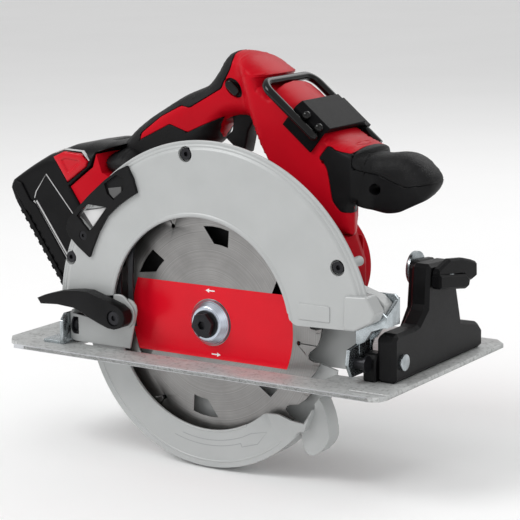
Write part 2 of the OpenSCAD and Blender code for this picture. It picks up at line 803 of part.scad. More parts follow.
module quadrant_bolts() color("silver") at_arbor() {
    x_rod(8, bev_z, 144, 150.05, 4);
    x_rod(8, bev_z, 150.02, 152, 5.6);
    x_rod(66, 38, 126.2, 156, 3);
    x_rod(66, 40, 126.2, 128.9, 12);
}

module bevel_lever() color("black") at_arbor()
    difference() {
        x_slab(150.4, 158.5)
            polygon([[34, 44], [37, 46.5], [53, 50], [71, 49], [90, 43], [94, 39], [94, 33], [87, 30],
                [81, 31], [75, 28], [60, 29], [34, 36]]);
        x_rod(66, 38, 140, 156.4, 3 + run);
    }

// ---- battery ----

module pack_profile()
    polygon([[-20, -51], [-29, -49], [-33, -44], [-33, -24], [-31.5, -5], [-26, 18], [-14, 42],
        [-6, 52], [-4.6, 50], [-8.6, 34], [-2.4, 27], [-0.8, -0.2], [85, -0.2], [85, -49], [83, -51]]);

module latch_profile(g)
    polygon([[-26 - g, 1 - g], [-24 - g, 12], [-14, 24.5 + g], [-6, 26 + g], [-4 + g, 23 + g], [-4 + g, 1 - g]]);

module battery_case() color("black") at_arbor() pack_frame()
    difference() {
        union() {
            y_slab(hand_y - 37.5, hand_y + 37.5) pack_profile();
            translate([4, hand_y - 17.4, -1]) cube([56, 34.8, 5.2]);
            translate([4, hand_y - 21, 3.9]) cube([56, 42, 8]);
        }
        translate([-10, hand_y - 33, -46]) cube([88, 66, 40]);
        y_slab(hand_y - 40, hand_y - 31) latch_profile(0.3);
        y_slab(hand_y + 31, hand_y + 40) latch_profile(0.3);
        y_slab(hand_y - 18, hand_y + 18) polygon([[-8.6, 33.5], [-12.2, 56], [12, 56], [12, 33.5]]);
        translate([30, hand_y - 15.2, 2.5]) cube([40, 30.4, 20]);
    }

module battery_cells() color("steelblue") at_arbor() pack_frame()
    for (x = [-0.4, 18.4, 37.2, 56])
        for (z = [-36.6, -15.8])
            y_rod(x, z, hand_y - 32.4, hand_y + 32.4, 9.2);

module latch_right() color("red") at_arbor() pack_frame()
    y_slab(hand_y - 38.6, hand_y - 34) latch_profile(0);

module latch_left() color("red") at_arbor() pack_frame()
    y_slab(hand_y + 34, hand_y + 38.6) latch_profile(0);

// ---- one line per node ----

upper_guard();
guard_screws();
spindle_hub();
guard_retainer();
guard_spring();
gear_case();
arbor_bearings();
motor_housing();
motor_end_cap();
end_cap_screws();
stator();
motor_bearings();
controller_housing();
controller_cover();
controller_board();
handle_right();
handle_left();
grip_overmould();
handle_screws();
battery_foot();
battery_rails();
terminal_block();
switch_module();
front_handle();
front_grip();
dust_chute();
chute_screw();
hook_saddle();
saddle_screws();
depth_bolt();
arbor_shaft();
drive_gear();
inner_flange();
blade();
carbide_tips();
outer_flange();
blade_bolt();
rotor_shaft();
rotor_core();
fan();
lower_guard();
trigger();
lock_off();
spindle_lock();
rafter_hook();
depth_lever();
front_pivot_bracket();
front_pivot_pin();
depth_bracket();
depth_arc();
bevel_pivots();
shoe();
rear_bevel_bracket();
bevel_quadrant();
quadrant_bolts();
bevel_lever();
battery_case();
battery_cells();
latch_right();
latch_left();
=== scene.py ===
import json
import math

import bmesh
import bpy
from mathutils import Matrix, Vector
from mathutils.geometry import delaunay_2d_cdt
from mathutils.kdtree import KDTree


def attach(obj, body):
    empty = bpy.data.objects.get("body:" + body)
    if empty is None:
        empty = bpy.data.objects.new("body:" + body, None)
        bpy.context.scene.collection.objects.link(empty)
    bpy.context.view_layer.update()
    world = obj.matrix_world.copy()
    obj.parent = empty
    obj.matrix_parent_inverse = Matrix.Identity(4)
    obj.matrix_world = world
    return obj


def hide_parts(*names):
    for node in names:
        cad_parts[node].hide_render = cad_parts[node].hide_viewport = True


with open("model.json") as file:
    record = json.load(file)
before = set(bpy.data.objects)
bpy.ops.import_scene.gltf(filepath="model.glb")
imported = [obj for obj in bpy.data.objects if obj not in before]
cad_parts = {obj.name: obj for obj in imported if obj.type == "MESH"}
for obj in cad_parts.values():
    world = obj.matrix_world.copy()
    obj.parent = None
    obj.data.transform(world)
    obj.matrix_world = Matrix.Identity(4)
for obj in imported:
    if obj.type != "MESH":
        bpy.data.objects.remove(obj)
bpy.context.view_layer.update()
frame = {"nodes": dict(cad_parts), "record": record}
NODES = frame["nodes"]

MM = 0.001
ARBOR = (4.6, -55.3, 28.6)  # arbor centre in the row frame
HAND_Y = 54.0
MOTOR = (8.5, 23.3)
MOTOR_CLEAR_R = 47.5
GUARD_C = (8.5, -0.5)


def row(x, y, z):
    """Arbor frame in millimetres to the row frame in metres."""
    return Vector(((x + ARBOR[0]) * MM, (y + ARBOR[1]) * MM, (z + ARBOR[2]) * MM))


# ---------------------------------------------------------------- materials

def node_of(nt, kind, **inputs):
    n = nt.nodes.new(kind)
    for k, v in inputs.items():
        n.inputs[k].default_value = v
    return n


def ramp_of(nt, source, p0, c0, p1, c1):
    """Two-colour ramp fed by a socket; gives its colour socket."""
    ramp = nt.nodes.new("ShaderNodeValToRGB")
    for element, place, color in zip(ramp.color_ramp.elements, (p0, p1), (c0, c1)):
        element.position = place
        element.color = (*color, 1)
    nt.links.new(source, ramp.inputs["Fac"])
    return ramp.outputs["Color"]


def shades(color, spread):
    """A darker and a lighter shade of the colour."""
    return [c * (1 - spread) for c in color], [min(1.0, c * (1 + spread)) for c in color]


def principled(name, metallic):
    """New node material: its tree, its shader and its object coordinates."""
    m = bpy.data.materials.new(name)
    m.use_nodes = True
    b = m.node_tree.nodes["Principled BSDF"]
    b.inputs["Metallic"].default_value = metallic
    return m, m.node_tree, b, m.node_tree.nodes.new("ShaderNodeTexCoord").outputs["Object"]


def material(name, color, rough, metallic=0.0, grain=900.0, bump=0.06, spread=0.12,
             mottle=60.0, rough_spread=0.12, coat=0.0, stretch=None, speck=0.0, specular=0.35,
             pebble=0.0, pebble_scale=700.0):
    """Base colour with mottling, a fine grain for bump and roughness, and optional pebbles."""
    m, nt, b, place = principled(name, metallic)
    b.inputs["Specular IOR Level"].default_value = specular
    b.inputs["Coat Weight"].default_value = coat
    b.inputs["Coat Roughness"].default_value = 0.12
    src = place
    if stretch:
        mp = nt.nodes.new("ShaderNodeMapping")
        mp.inputs["Scale"].default_value = stretch
        nt.links.new(src, mp.inputs["Vector"])
        src = mp.outputs["Vector"]
    fine = node_of(nt, "ShaderNodeTexNoise", Scale=grain, Detail=4.0, Roughness=0.6)
    nt.links.new(src, fine.inputs["Vector"])
    big = node_of(nt, "ShaderNodeTexNoise", Scale=mottle, Detail=5.0, Roughness=0.55)
    nt.links.new(place, big.inputs["Vector"])
    dark, light = shades(color, spread)
    color_out = ramp_of(nt, big.outputs["Fac"], 0.32, dark, 0.68, light)
    if speck > 0:
        spots = node_of(nt, "ShaderNodeTexNoise", Scale=speck, Detail=2.0, Roughness=0.5)
        nt.links.new(place, spots.inputs["Vector"])
        mul = nt.nodes.new("ShaderNodeMix")
        mul.data_type = "RGBA"
        mul.blend_type = "MULTIPLY"
        mul.inputs["Factor"].default_value = 1.0
        nt.links.new(color_out, mul.inputs["A"])
        nt.links.new(ramp_of(nt, spots.outputs["Fac"], 0.34, (0.7, 0.7, 0.7), 0.46, (1, 1, 1)),
                     mul.inputs["B"])
        color_out = mul.outputs["Result"]
    nt.links.new(color_out, b.inputs["Base Color"])
    rr = node_of(nt, "ShaderNodeMapRange")
    rr.inputs["From Min"].default_value = 0.3
    rr.inputs["From Max"].default_value = 0.7
    rr.inputs["To Min"].default_value = max(0.02, rough - rough_spread)
    rr.inputs["To Max"].default_value = min(1.0, rough + rough_spread)
    nt.links.new(fine.outputs["Fac"], rr.inputs["Value"])
    nt.links.new(rr.outputs["Result"], b.inputs["Roughness"])
    bp = node_of(nt, "ShaderNodeBump", Strength=bump, Distance=0.0006)
    nt.links.new(fine.outputs["Fac"], bp.inputs["Height"])
    if pebble > 0:
        v = node_of(nt, "ShaderNodeTexVoronoi", Scale=pebble_scale)
        nt.links.new(place, v.inputs["Vector"])
        bp2 = node_of(nt, "ShaderNodeBump", Strength=pebble, Distance=0.0008)
        bp2.invert = True
        nt.links.new(v.outputs["Distance"], bp2.inputs["Height"])
        nt.links.new(bp.outputs["Normal"], bp2.inputs["Normal"])
        bp = bp2
    nt.links.new(bp.outputs["Normal"], b.inputs["Normal"])
    return m


def turned_material(name, color, rough, centre, rings=1400.0, metallic=1.0, spread=0.18):
    """Metal finished in circles round an axis along Y."""
    m, nt, b, place = principled(name, metallic)
    sub = nt.nodes.new("ShaderNodeVectorMath")
    sub.operation = "SUBTRACT"
    sub.inputs[1].default_value = (centre[0], 0, centre[1])
    nt.links.new(place, sub.inputs[0])
    flat = nt.nodes.new("ShaderNodeVectorMath")
    flat.operation = "MULTIPLY"
    flat.inputs[1].default_value = (1, 0, 1)
    nt.links.new(sub.outputs[0], flat.inputs[0])
    rad = nt.nodes.new("ShaderNodeVectorMath")
    rad.operation = "LENGTH"
    nt.links.new(flat.outputs[0], rad.inputs[0])
    ringn = nt.nodes.new("ShaderNodeTexNoise")
    ringn.noise_dimensions = "1D"
    ringn.inputs["Scale"].default_value = rings
    ringn.inputs["Detail"].default_value = 3.0
    nt.links.new(rad.outputs["Value"], ringn.inputs["W"])
    big = node_of(nt, "ShaderNodeTexNoise", Scale=45.0, Detail=4.0)
    nt.links.new(place, big.inputs["Vector"])
    add = nt.nodes.new("ShaderNodeMath")
    add.operation = "MULTIPLY"
    nt.links.new(ringn.outputs["Fac"], add.inputs[0])
    nt.links.new(big.outputs["Fac"], add.inputs[1])
    dark, light = shades(color, spread)
    nt.links.new(ramp_of(nt, add.outputs[0], 0.12, dark, 0.4, light), b.inputs["Base Color"])
    rr = node_of(nt, "ShaderNodeMapRange")
    rr.inputs["To Min"].default_value = rough - 0.08
    rr.inputs["To Max"].default_value = rough + 0.14
    nt.links.new(ringn.outputs["Fac"], rr.inputs["Value"])
    nt.links.new(rr.outputs["Result"], b.inputs["Roughness"])
    bp = node_of(nt, "ShaderNodeBump", Strength=0.12, Distance=0.0002)
    nt.links.new(ringn.outputs["Fac"], bp.inputs["Height"])
    nt.links.new(bp.outputs["Normal"], b.inputs["Normal"])
    return m


HUB = (ARBOR[0] * MM, ARBOR[2] * MM)
MAT = {
    "guard_paint": material("guard_paint", (0.44, 0.452, 0.45), 0.36, 0.1, 1500, 0.05, 0.03, 40, 0.06),
    "hub_cast": material("hub_cast", (0.55, 0.56, 0.57), 0.42, 0.8, 900, 0.15),
    "gear_cast": material("gear_cast", (0.22, 0.225, 0.23), 0.5, 0.7, 700, 0.2),
    "zinc": material("zinc", (0.42, 0.46, 0.48), 0.24, 0.95, 1200, 0.08, 0.3, 90),
    "steel": material("steel", (0.5, 0.51, 0.53), 0.3, 1.0, 1200, 0.08),
    "carbide": material("carbide", (0.25, 0.24, 0.235), 0.35, 0.9, 1400, 0.1),
    "black_steel": material("black_steel", (0.022, 0.022, 0.025), 0.35, 0.6, 1200, 0.08, 0.3),
    "hook_black": material("hook_black", (0.003, 0.003, 0.003), 0.14, 0.0, 500, 0.02, 0.2, 60, 0.03,
                           specular=0.3),
    "red_plastic": material("red_plastic", (0.5, 0.003, 0.012), 0.36, 0.0, 1600, 0.05, 0.05, 30, 0.06,
                            specular=0.08),
    "red_gloss": material("red_gloss", (0.55, 0.004, 0.014), 0.25, 0.0, 1400, 0.03, 0.05, 30, 0.05,
                          coat=0.08, specular=0.2),
    "black_plastic": material("black_plastic", (0.0065, 0.0065, 0.007), 0.42, 0.0, 1900, 0.16, 0.25, 50,
                              specular=0.14),
    "overmould": material("overmould", (0.0055, 0.0055, 0.006), 0.5, 0.0, 1500, 0.2, 0.2, 50,
                          pebble=0.18, pebble_scale=1300, specular=0.18),
    "grip_rubber": material("grip_rubber", (0.0055, 0.0055, 0.006), 0.5, 0.0, 1500, 0.25, 0.2, 50,
                            pebble=0.3, pebble_scale=1300, specular=0.2),
    "battery_black": material("battery_black", (0.0045, 0.0045, 0.005), 0.34, 0.0, 1700, 0.1, 0.25, 60,
                              specular=0.12),
    "shoe_cast": material("shoe_cast", (0.5, 0.51, 0.505), 0.46, 0.2, 260, 0.35, 0.1, 140, 0.14,
                          speck=420, stretch=(0.35, 1, 1)),
    "copper_stack": material("copper_stack", (0.4, 0.2, 0.1), 0.4, 0.8, 900, 0.2),
    "board_green": material("board_green", (0.02, 0.16, 0.05), 0.35),
    "cell_wrap": material("cell_wrap", (0.06, 0.18, 0.35), 0.3),
    "blade_steel": turned_material("blade_steel", (0.29, 0.285, 0.28), 0.36, HUB),
}
MAT["label_red"] = material("label_red", (0.68, 0.004, 0.016), 0.24, 0.0, 1500, 0.02, 0.05, 25, 0.05,
                            specular=0.2)
# Darker, matt copy of the red plastic: painted shade for the red housing parts that sit low and behind.
MAT["red_painted_shade"] = material("red_painted_shade", (0.4, 0.002, 0.009), 0.6, 0.0, 1600, 0.05, 0.05, 30, 0.06,
                            specular=0.03)
MAT["satin_black"] = material("satin_black", (0.0045, 0.0045, 0.005), 0.38, 0.0, 1700, 0.12, 0.25, 55,
                              specular=0.05)
MAT["mark_white"] = material("mark_white", (0.8, 0.8, 0.8), 0.4, 0.0, 1500, 0.02, 0.03)
MAT["mark_grey"] = material("mark_grey", (0.33, 0.34, 0.35), 0.45, 0.2, 1500, 0.05, 0.06)
# Light grey: the printed label frame, and painted highlights along the battery's edges.
MAT["grey_print_and_highlight"] = material("grey_print_and_highlight", (0.5, 0.5, 0.5), 0.4, 0.1, 1500, 0.03, 0.06)
MAT["flange_zinc"] = turned_material("flange_zinc", (0.55, 0.60, 0.68), 0.28, HUB, 2200.0)
# Dark grey, used on the chute tab; on the chute wall it is painted shade for the guard casting inside the
# chute.
MAT["dark_grey_and_painted_shade"] = material("dark_grey_and_painted_shade", (0.1, 0.1, 0.1), 0.45, 0.1, 1500, 0.05, 0.06)
# Near-white copy of the guard paint: painted highlight on the guard casting's inner face.
MAT["ramp_painted_highlight"] = material("ramp_painted_highlight", (0.66, 0.66, 0.66), 0.4, 0.0, 1500, 0.03, 0.04)
# Near-black and rough: painted shade for hollows, on the lock-off recess floor and inside the upper guard.
MAT["hollow_painted_shade"] = material("hollow_painted_shade", (0.008, 0.008, 0.009), 0.6)

NODE_SLOT = {s["node"]: s["material_slot"] for s in frame["record"]["subparts"]}


def smooth(mesh, angle=32.0):
    mesh.polygons.foreach_set("use_smooth", [True] * len(mesh.polygons))
    mesh.set_sharp_from_angle(angle=math.radians(angle))


def soften(o, width, segments=3, angle=32.0, weld=True):
    """Weld the imported mesh's split corners and round its sharp edges."""
    if weld:
        w = o.modifiers.new("weld", "WELD")
        w.merge_threshold = 0.00001
    b = o.modifiers.new("bevel", "BEVEL")
    b.width = width * MM
    b.segments = segments
    b.limit_method = "ANGLE"
    b.angle_limit = math.radians(angle)
    b.harden_normals = True
    b.use_clamp_overlap = True


# width in mm of the rounded edges of each CAD node that stays in view
BEVEL = {
    "battery_foot": 2.0, "depth_lever": 1.6,
    "quadrant_bolts": 0.5, "shoe": 0.7, "trigger": 1.6,
    "front_pivot_bracket": 0.5, "blade_bolt": 0.5,
    "outer_flange": 0.4, "motor_housing": 1.0, "motor_end_cap": 1.2,
    "gear_case": 1.2,
    "spindle_lock": 0.6, "depth_bracket": 0.3, "rear_bevel_bracket": 0.5,
    "blade": 0.12, "carbide_tips": 0.1, "depth_bolt": 0.4, "front_pivot_pin": 0.4,
}
for name, o in NODES.items():
    o.data.materials.clear()
    o.data.materials.append(MAT[NODE_SLOT[name]])
    smooth(o.data)
    if name in BEVEL:
        soften(o, BEVEL[name])
NODES["outer_flange"].data.materials[0] = MAT["flange_zinc"]
# Motor end cap in the darker red: painted shade.
NODES["motor_end_cap"].data.materials[0] = MAT["red_painted_shade"]

# ---------------------------------------------------------------- sculpted solids


def build(name, bm, angle=32.0):
    """Object of that name from a finished bmesh, shaded smooth and linked to the scene."""
    bmesh.ops.recalc_face_normals(bm, faces=bm.faces)
    me = bpy.data.meshes.new(name)
    bm.to_mesh(me)
    bm.free()
    smooth(me, angle)
    o = bpy.data.objects.new(name, me)
    bpy.context.scene.collection.objects.link(o)
    return o


def extrusion(name, ends, bevel=0.0, segments=3):
    """Closed solid between two loops with as many points, with rounded edges."""
    bm = bmesh.new()
    a, b = [[bm.verts.new(q) for q in loop] for loop in ends]
    bm.faces.new(a)
    bm.faces.new(list(reversed(b)))
    for i in range(len(a)):
        j = (i + 1) % len(a)
        bm.faces.new([a[i], b[i], b[j], a[j]])
    o = build(name, bm)
    if bevel:
        soften(o, bevel, segments, weld=False)
    return o


def prism(name, poly, y0, y1, bevel=0.0, segments=3):
    """Straight extrusion along Y of a profile in X and Z."""
    return extrusion(name, [[row(x, y, z) for x, z in poly] for y in (y0, y1)], bevel, segments)


def prism_x(name, poly, x0, x1, bevel=0.0, segments=3):
    """Straight extrusion along X of a profile in Y and Z."""
    return extrusion(name, [[row(x, y, z) for y, z in poly] for x in (x0, x1)], bevel, segments)


def in_poly(p, poly):
    """Whether the point lies inside the polygon."""
    x, z = p
    inside = False
    n = len(poly)
    for i in range(n):
        x0, z0 = poly[i]
        x1, z1 = poly[(i + 1) % n]
        if (z0 > z) != (z1 > z) and x < (x1 - x0) * (z - z0) / (z1 - z0) + x0:
            inside = not inside
    return inside


def round_corners(poly, r, steps=5):
    """Replace each corner by a short curve that starts r before it."""
    out = []
    n = len(poly)
    for i in range(n):
        a, b, c = Vector(poly[i - 1]), Vector(poly[i]), Vector(poly[(i + 1) % n])
        d0 = min(r, (a - b).length * 0.45)
        d1 = min(r, (c - b).length * 0.45)
        p0 = b + (a - b).normalized() * d0
        p1 = b + (c - b).normalized() * d1
        for k in range(steps + 1):
            t = k / steps
            q = p0 * (1 - t) ** 2 + b * 2 * t * (1 - t) + p1 * t ** 2
            out.append((q.x, q.y))
    return out


def circle_loop(cx, cz, r, n=64):
    """Points of a full circle."""
    return [(cx + r * math.cos(2 * math.pi * i / n), cz + r * math.sin(2 * math.pi * i / n))
            for i in range(n)]


def dense(loop, step):
    """The loop with its edges split to at most about the step."""
    out = []
    n = len(loop)
    for i in range(n):
        a, b = Vector(loop[i]), Vector(loop[(i + 1) % n])
        k = max(1, int((b - a).length / step))
        for j in range(k):
            q = a + (b - a) * (j / k)
            out.append((q.x, q.y))
    return out


class Field:
    """Distance to the outline of a region given by a predicate and the loops that bound it."""

    def __init__(self, loops, inside, eps=0.15):
        self.segs = []
        for loop in loops:
            d = dense(loop, 0.8)
            for i in range(len(d)):
                a, b = Vector(d[i]), Vector(d[(i + 1) % len(d)])
                t = b - a
                if t.length < 1e-6:
                    continue
                mid = (a + b) / 2
                nrm = Vector((-t.y, t.x)).normalized() * eps
                if inside((mid + nrm)[:]) != inside((mid - nrm)[:]):
                    self.segs.append((a, b))
        self.tree = KDTree(len(self.segs))
        for i, (a, b) in enumerate(self.segs):
            c = (a + b) / 2
            self.tree.insert((c.x, c.y, 0), i)
        self.tree.balance()

    def __call__(self, p):
        q = Vector(p)
        best = 1e9
        for _, i, _ in self.tree.find_n((p[0], p[1], 0), 6):
            a, b = self.segs[i]
            ab = b - a
            t = min(max((q - a).dot(ab) / ab.length_squared, 0.0), 1.0)
            best = min(best, (q - a - ab * t).length)
        return 0.0 if best < 0.02 else best


def dome(d, r, p=2.2):
    """0 at an edge rising to 1 at depth r, round like a superellipse."""
    t = min(d / r, 1.0)
    return (1 - (1 - t) ** p) ** (1 / p)


def triangulate(loops, inside, step, field, insets):
    """Triangles over a region, with rows of points at the inset depths along its outline."""
    verts, edges = [], []
    for loop in loops:
        d = dense(loop, step)
        s = len(verts)
        verts += [Vector(p) for p in d]
        edges += [(s + i, s + (i + 1) % len(d)) for i in range(len(d))]
    base = KDTree(len(verts))
    for i, v in enumerate(verts):
        base.insert((v.x, v.y, 0), i)
    base.balance()
    lo = Vector((min(v.x for v in verts), min(v.y for v in verts)))
    hi = Vector((max(v.x for v in verts), max(v.y for v in verts)))
    cand = []
    zz, k = lo.y, 0
    while zz < hi.y:
        xx = lo.x + (step / 2 if k % 2 else 0)
        while xx < hi.x:
            cand.append((xx, zz))
            xx += step
        zz += step * 0.87
        k += 1
    for loop in loops if insets else ():
        d = dense(loop, step)
        n = len(d)
        for i in range(n):
            a, b, c = Vector(d[i - 1]), Vector(d[i]), Vector(d[(i + 1) % n])
            if (b - a).length < 1e-6 or (c - b).length < 1e-6:
                continue
            t0, t1 = (b - a).normalized(), (c - b).normalized()
            nrm = Vector((-(t0.y + t1.y), t0.x + t1.x))
            if nrm.length < 0.6:
                continue
            nrm = nrm.normalized()
            stretch = 1 / max(0.6, nrm.dot(Vector((-t0.y, t0.x))))
            for s in (-1, 1):
                for ins in insets:
                    q = b + nrm * s * ins * stretch
                    if not inside(q[:]) or field(q[:]) < ins * 0.93:
                        break
                    near = base.find((q.x, q.y, 0))[2]
                    if near > ins * 0.9:
                        verts.append(q)
    ringed = KDTree(len(verts))
    for i, v in enumerate(verts):
        ringed.insert((v.x, v.y, 0), i)
    ringed.balance()
    for p in cand:
        if inside(p) and ringed.find((p[0], p[1], 0))[2] > step * 0.55:
            if not insets or field(p) > insets[-1] * 0.98 or ringed.find((p[0], p[1], 0))[2] > step:
                verts.append(Vector(p))
    v2, _, faces, _, _, _ = delaunay_2d_cdt(verts, edges, [], 0, 1e-4)
    tri = []
    for f in faces:
        c = (v2[f[0]] + v2[f[1]] + v2[f[2]]) / 3
        if inside((c.x, c.y)):
            tri.append(tuple(f))
    return v2, tri


def solid_between(name, loops, inside, near, far, step=2.5, field=None, insets=(), relax=0):
    """Closed solid over a region: near(p) and far(p) give its two surfaces along Y."""
    field = field or Field(loops, inside)
    v2, tri = triangulate(loops, inside, step, field, insets)
    bm = bmesh.new()
    used = sorted({i for f in tri for i in f})
    low, high = {}, {}
    for i in used:
        p = (v2[i].x, v2[i].y)
        y0, y1 = near(p), far(p)
        if y1 - y0 < 0.05:
            v = bm.verts.new(row(p[0], (y0 + y1) / 2, p[1]))
            low[i] = high[i] = v
        else:
            low[i] = bm.verts.new(row(p[0], y0, p[1]))
            high[i] = bm.verts.new(row(p[0], y1, p[1]))
    count = {}
    for f in tri:
        for a, b in ((f[0], f[1]), (f[1], f[2]), (f[2], f[0])):
            count[(min(a, b), max(a, b))] = count.get((min(a, b), max(a, b)), 0) + 1

    def face(vs):
        u = []
        for v in vs:
            if v not in u:
                u.append(v)
        if len(u) >= 3:
            try:
                bm.faces.new(u)
            except ValueError:
                pass

    for f in tri:
        face([low[i] for i in f])
        face([high[i] for i in reversed(f)])
        for a, b in ((f[0], f[1]), (f[1], f[2]), (f[2], f[0])):
            if count[(min(a, b), max(a, b))] == 1:
                face([low[b], low[a], high[a], high[b]])
    seam = {v for i, v in low.items() if high[i] is v}
    for _ in range(relax):
        bmesh.ops.smooth_vert(bm, verts=[v for v in bm.verts if v not in seam], factor=0.4,
                              use_axis_x=False, use_axis_y=True, use_axis_z=False)
    return build(name, bm, 38)


def lathe(name, cx, cz, profile, n=180):
    """Solid of revolution about an axis along Y from a closed loop of (radius, y)."""
    bm = bmesh.new()
    rings = []
    for i in range(n):
        a = 2 * math.pi * i / n
        rings.append([bm.verts.new(row(cx + r * math.cos(a), y, cz + r * math.sin(a)))
                      for r, y in profile])
    m = len(profile)
    for i in range(n):
        for j in range(m):
            bm.faces.new([rings[i][j], rings[i][(j + 1) % m], rings[(i + 1) % n][(j + 1) % m],
                          rings[(i + 1) % n][j]])
    return build(name, bm)


def piece(o, body, slot, mat=None, replaces=()):
    """Give the object its material, its body and the CAD nodes it stands for."""
    o.data.materials.clear()
    o.data.materials.append(MAT[mat or slot])
    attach(o, body)
    if replaces:
        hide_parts(*replaces)
    return o


def facet(o):
    """Flat faces and one-segment chamfers, for parts with crisp facets."""
    o.data.polygons.foreach_set("use_smooth", [False] * len(o.data.polygons))
    for m in o.modifiers:
        if m.type == "BEVEL":
            m.segments = 1
            m.harden_normals = False
    return o


def cut(o, tools, operation="DIFFERENCE"):
    """Boolean of the object with each tool in turn, applied, with the tools removed."""
    for t in tools:
        m = o.modifiers.new("cut", "BOOLEAN")
        m.operation = operation
        m.object = t
        m.solver = "EXACT"
    dg = bpy.context.evaluated_depsgraph_get()
    me = bpy.data.meshes.new_from_object(o.evaluated_get(dg))
    o.modifiers.clear()
    o.data = me
    for t in tools:
        bpy.data.objects.remove(t)
    smooth(o.data, 38)
    return o


# ---------------------------------------------------------------- handle

HANDLE = [(-113, 111), (-100, 124), (-87, 134), (-70, 144), (-52, 154), (-31, 162), (-26, 167),
          (-18, 178), (-14, 184), (-8, 187.6), (2, 187.4), (9, 185), (29, 173), (32, 168),
          (32, 100), (60, 67), (-10, 62), (-60, 60), (-85, 88)]
COLUMN = [(6, 172), (29, 172.6), (38, 166), (55, 153.5), (78, 135), (88, 129.5), (97, 126.5),
          (98.5, 120), (98.5, 65.6), (60, 66.3), (28, 110), (13, 133), (6, 138)]
STEM = [(81, 127), (88, 128.6), (97, 126), (104, 125.5), (106, 112), (103, 92), (98, 86),
        (98.5, 81.4), (90.3, 81.9), (84, 88.5), (80.3, 108), (78.8, 112.6), (73.2, 118)]
KNOB = [(98, 87), (108, 83), (118, 81), (128, 82.4), (147.5, 92), (151.4, 97), (152, 103.8), (151, 108),
        (145, 115), (137, 121), (127, 123), (113, 121), (98, 122)]
KNOB_TOP = [(99, 130), (150, 130), (156, 104), (151, 103.4), (135, 100.6), (119, 106.2), (104, 110.5),
            (99, 113)]
OPENING = [(-23, 123), (-22, 129), (-14, 137), (-3, 141), (8, 140), (13, 133), (28, 110),
           (46, 88), (40, 81), (-20, 78), (-52, 85), (-68, 97), (-62, 104), (-32, 116)]
BLACK_TOP = [(-5.5, 190), (-14, 190), (-30, 175), (-60, 156), (-90, 138), (-120, 112),
             (-108, 97), (-98, 106), (-87, 119.5), (-86, 125), (-69, 138), (-50, 147), (-42, 146),
             (-14, 161), (-11, 167), (-6, 175), (-5, 180)]
BLACK_LOW = [(-100, 110), (-86.6, 120.2), (-60, 133), (-44, 128), (-14, 141), (-20, 134),
             (-22.5, 129), (-23.5, 122), (-32, 115), (-60, 103), (-69, 97), (-84, 88), (-108, 96)]
HANDLE_RINGS = (0.12, 0.45, 1.0, 1.9, 3.2, 5.0, 7.2)
OPEN_R = round_corners(OPENING, 6)
HANDLE_R = round_corners(HANDLE, 5)
COLUMN_R = round_corners(COLUMN, 2.5)
STEM_R = round_corners(STEM, 2)
COLLAR = round_corners([(80, 126.6), (82.5, 126.6), (86, 124.2), (98.2, 122), (99.8, 127), (99.8, 134),
                        (104, 134), (106, 112), (103, 92), (98, 86), (99.4, 81.6), (90.3, 81.9),
                        (84, 88.5), (80.3, 108), (78.8, 112.6), (73.2, 118)], 2)
KNOB_R = round_corners(KNOB, 4)
HOLE = circle_loop(112, 98, 4, 28)
MOTOR_CLEAR = circle_loop(*MOTOR, MOTOR_CLEAR_R, 96)
NOTCH_LOW, NOTCH_HIGH = -46.5, -37.0
COL_X, COL_Z, COL_TILT = 66.0, 145.0, math.radians(39.5)


def col(x, z):
    """From the sloping column's own axes to the arbor frame."""
    return (COL_X + x * math.cos(COL_TILT) + z * math.sin(COL_TILT),
            COL_Z - x * math.sin(COL_TILT) + z * math.cos(COL_TILT))


NOTCH = [col(NOTCH_LOW, -9), col(NOTCH_HIGH, -9), col(NOTCH_HIGH, 21), col(NOTCH_LOW, 21)]


def in_motor(p):
    """Inside the clearance round the motor barrel."""
    return math.hypot(p[0] - MOTOR[0], p[1] - MOTOR[1]) < MOTOR_CLEAR_R


def front_part(p):
    """The black collar and knob of the front handle."""
    return in_poly(p, COLLAR) or in_poly(p, KNOB_R)


def handle_all(p):
    """Everything of the handle in side view."""
    if in_poly(p, OPEN_R) or in_motor(p) or in_poly(p, NOTCH):
        return False
    return any(in_poly(p, q) for q in (HANDLE_R, COLUMN_R, STEM_R, KNOB_R))


def is_black(p):
    """The soft overmould on the grip."""
    return (in_poly(p, BLACK_TOP) or in_poly(p, BLACK_LOW)) and in_poly(p, HANDLE_R)


OUTLINES = [HANDLE_R, COLUMN_R, OPEN_R, MOTOR_CLEAR, NOTCH, STEM_R, KNOB_R]
handle_field = Field(OUTLINES, handle_all)


def step01(a, b, x):
    """Smooth step from 0 at a to 1 at b."""
    t = min(max((x - a) / (b - a), 0.0), 1.0)
    return t * t * (3 - 2 * t)


GRIP_HALF, GRIP_ROUND = 16.8, 12
FOOT_CUT_X, FOOT_CUT_Y, FOOT_CUT_SLOPE = 93.5, 45, 1.7


def handle_sides(p):
    """Near and far surface: slim along the grip, full on the column, cut back low on the far side."""
    grow = step01(4, 20, p[0] + (p[1] - 150) * 0.25)
    knob = step01(97, 112, p[0])
    w = GRIP_HALF + 10 * grow - 10.2 * knob
    r = GRIP_ROUND - 5.5 * grow + 4.5 * knob
    d = dome(handle_field(p), r, 2.1 + 0.2 * knob)
    near, far = HAND_Y - w, HAND_Y + w
    low = (1 - step01(84, 104, p[1])) * step01(58, 74, p[0])
    far -= low * (far - min(far, max(near + 8, FOOT_CUT_Y + FOOT_CUT_SLOPE
                                      * (FOOT_CUT_X - p[0]))))
    mid = (near + far) / 2
    return mid - (mid - near) * d, mid + (far - mid) * d


def skin(name, inside, loops, lift=0.0):
    """Part of the handle, standing out by lift on both sides."""
    return solid_between(name, OUTLINES + [COLLAR] + loops, lambda p: handle_all(p) and inside(p),
                         lambda p: handle_sides(p)[0] - lift, lambda p: handle_sides(p)[1] + lift,
                         2.1, handle_field, HANDLE_RINGS, 2)


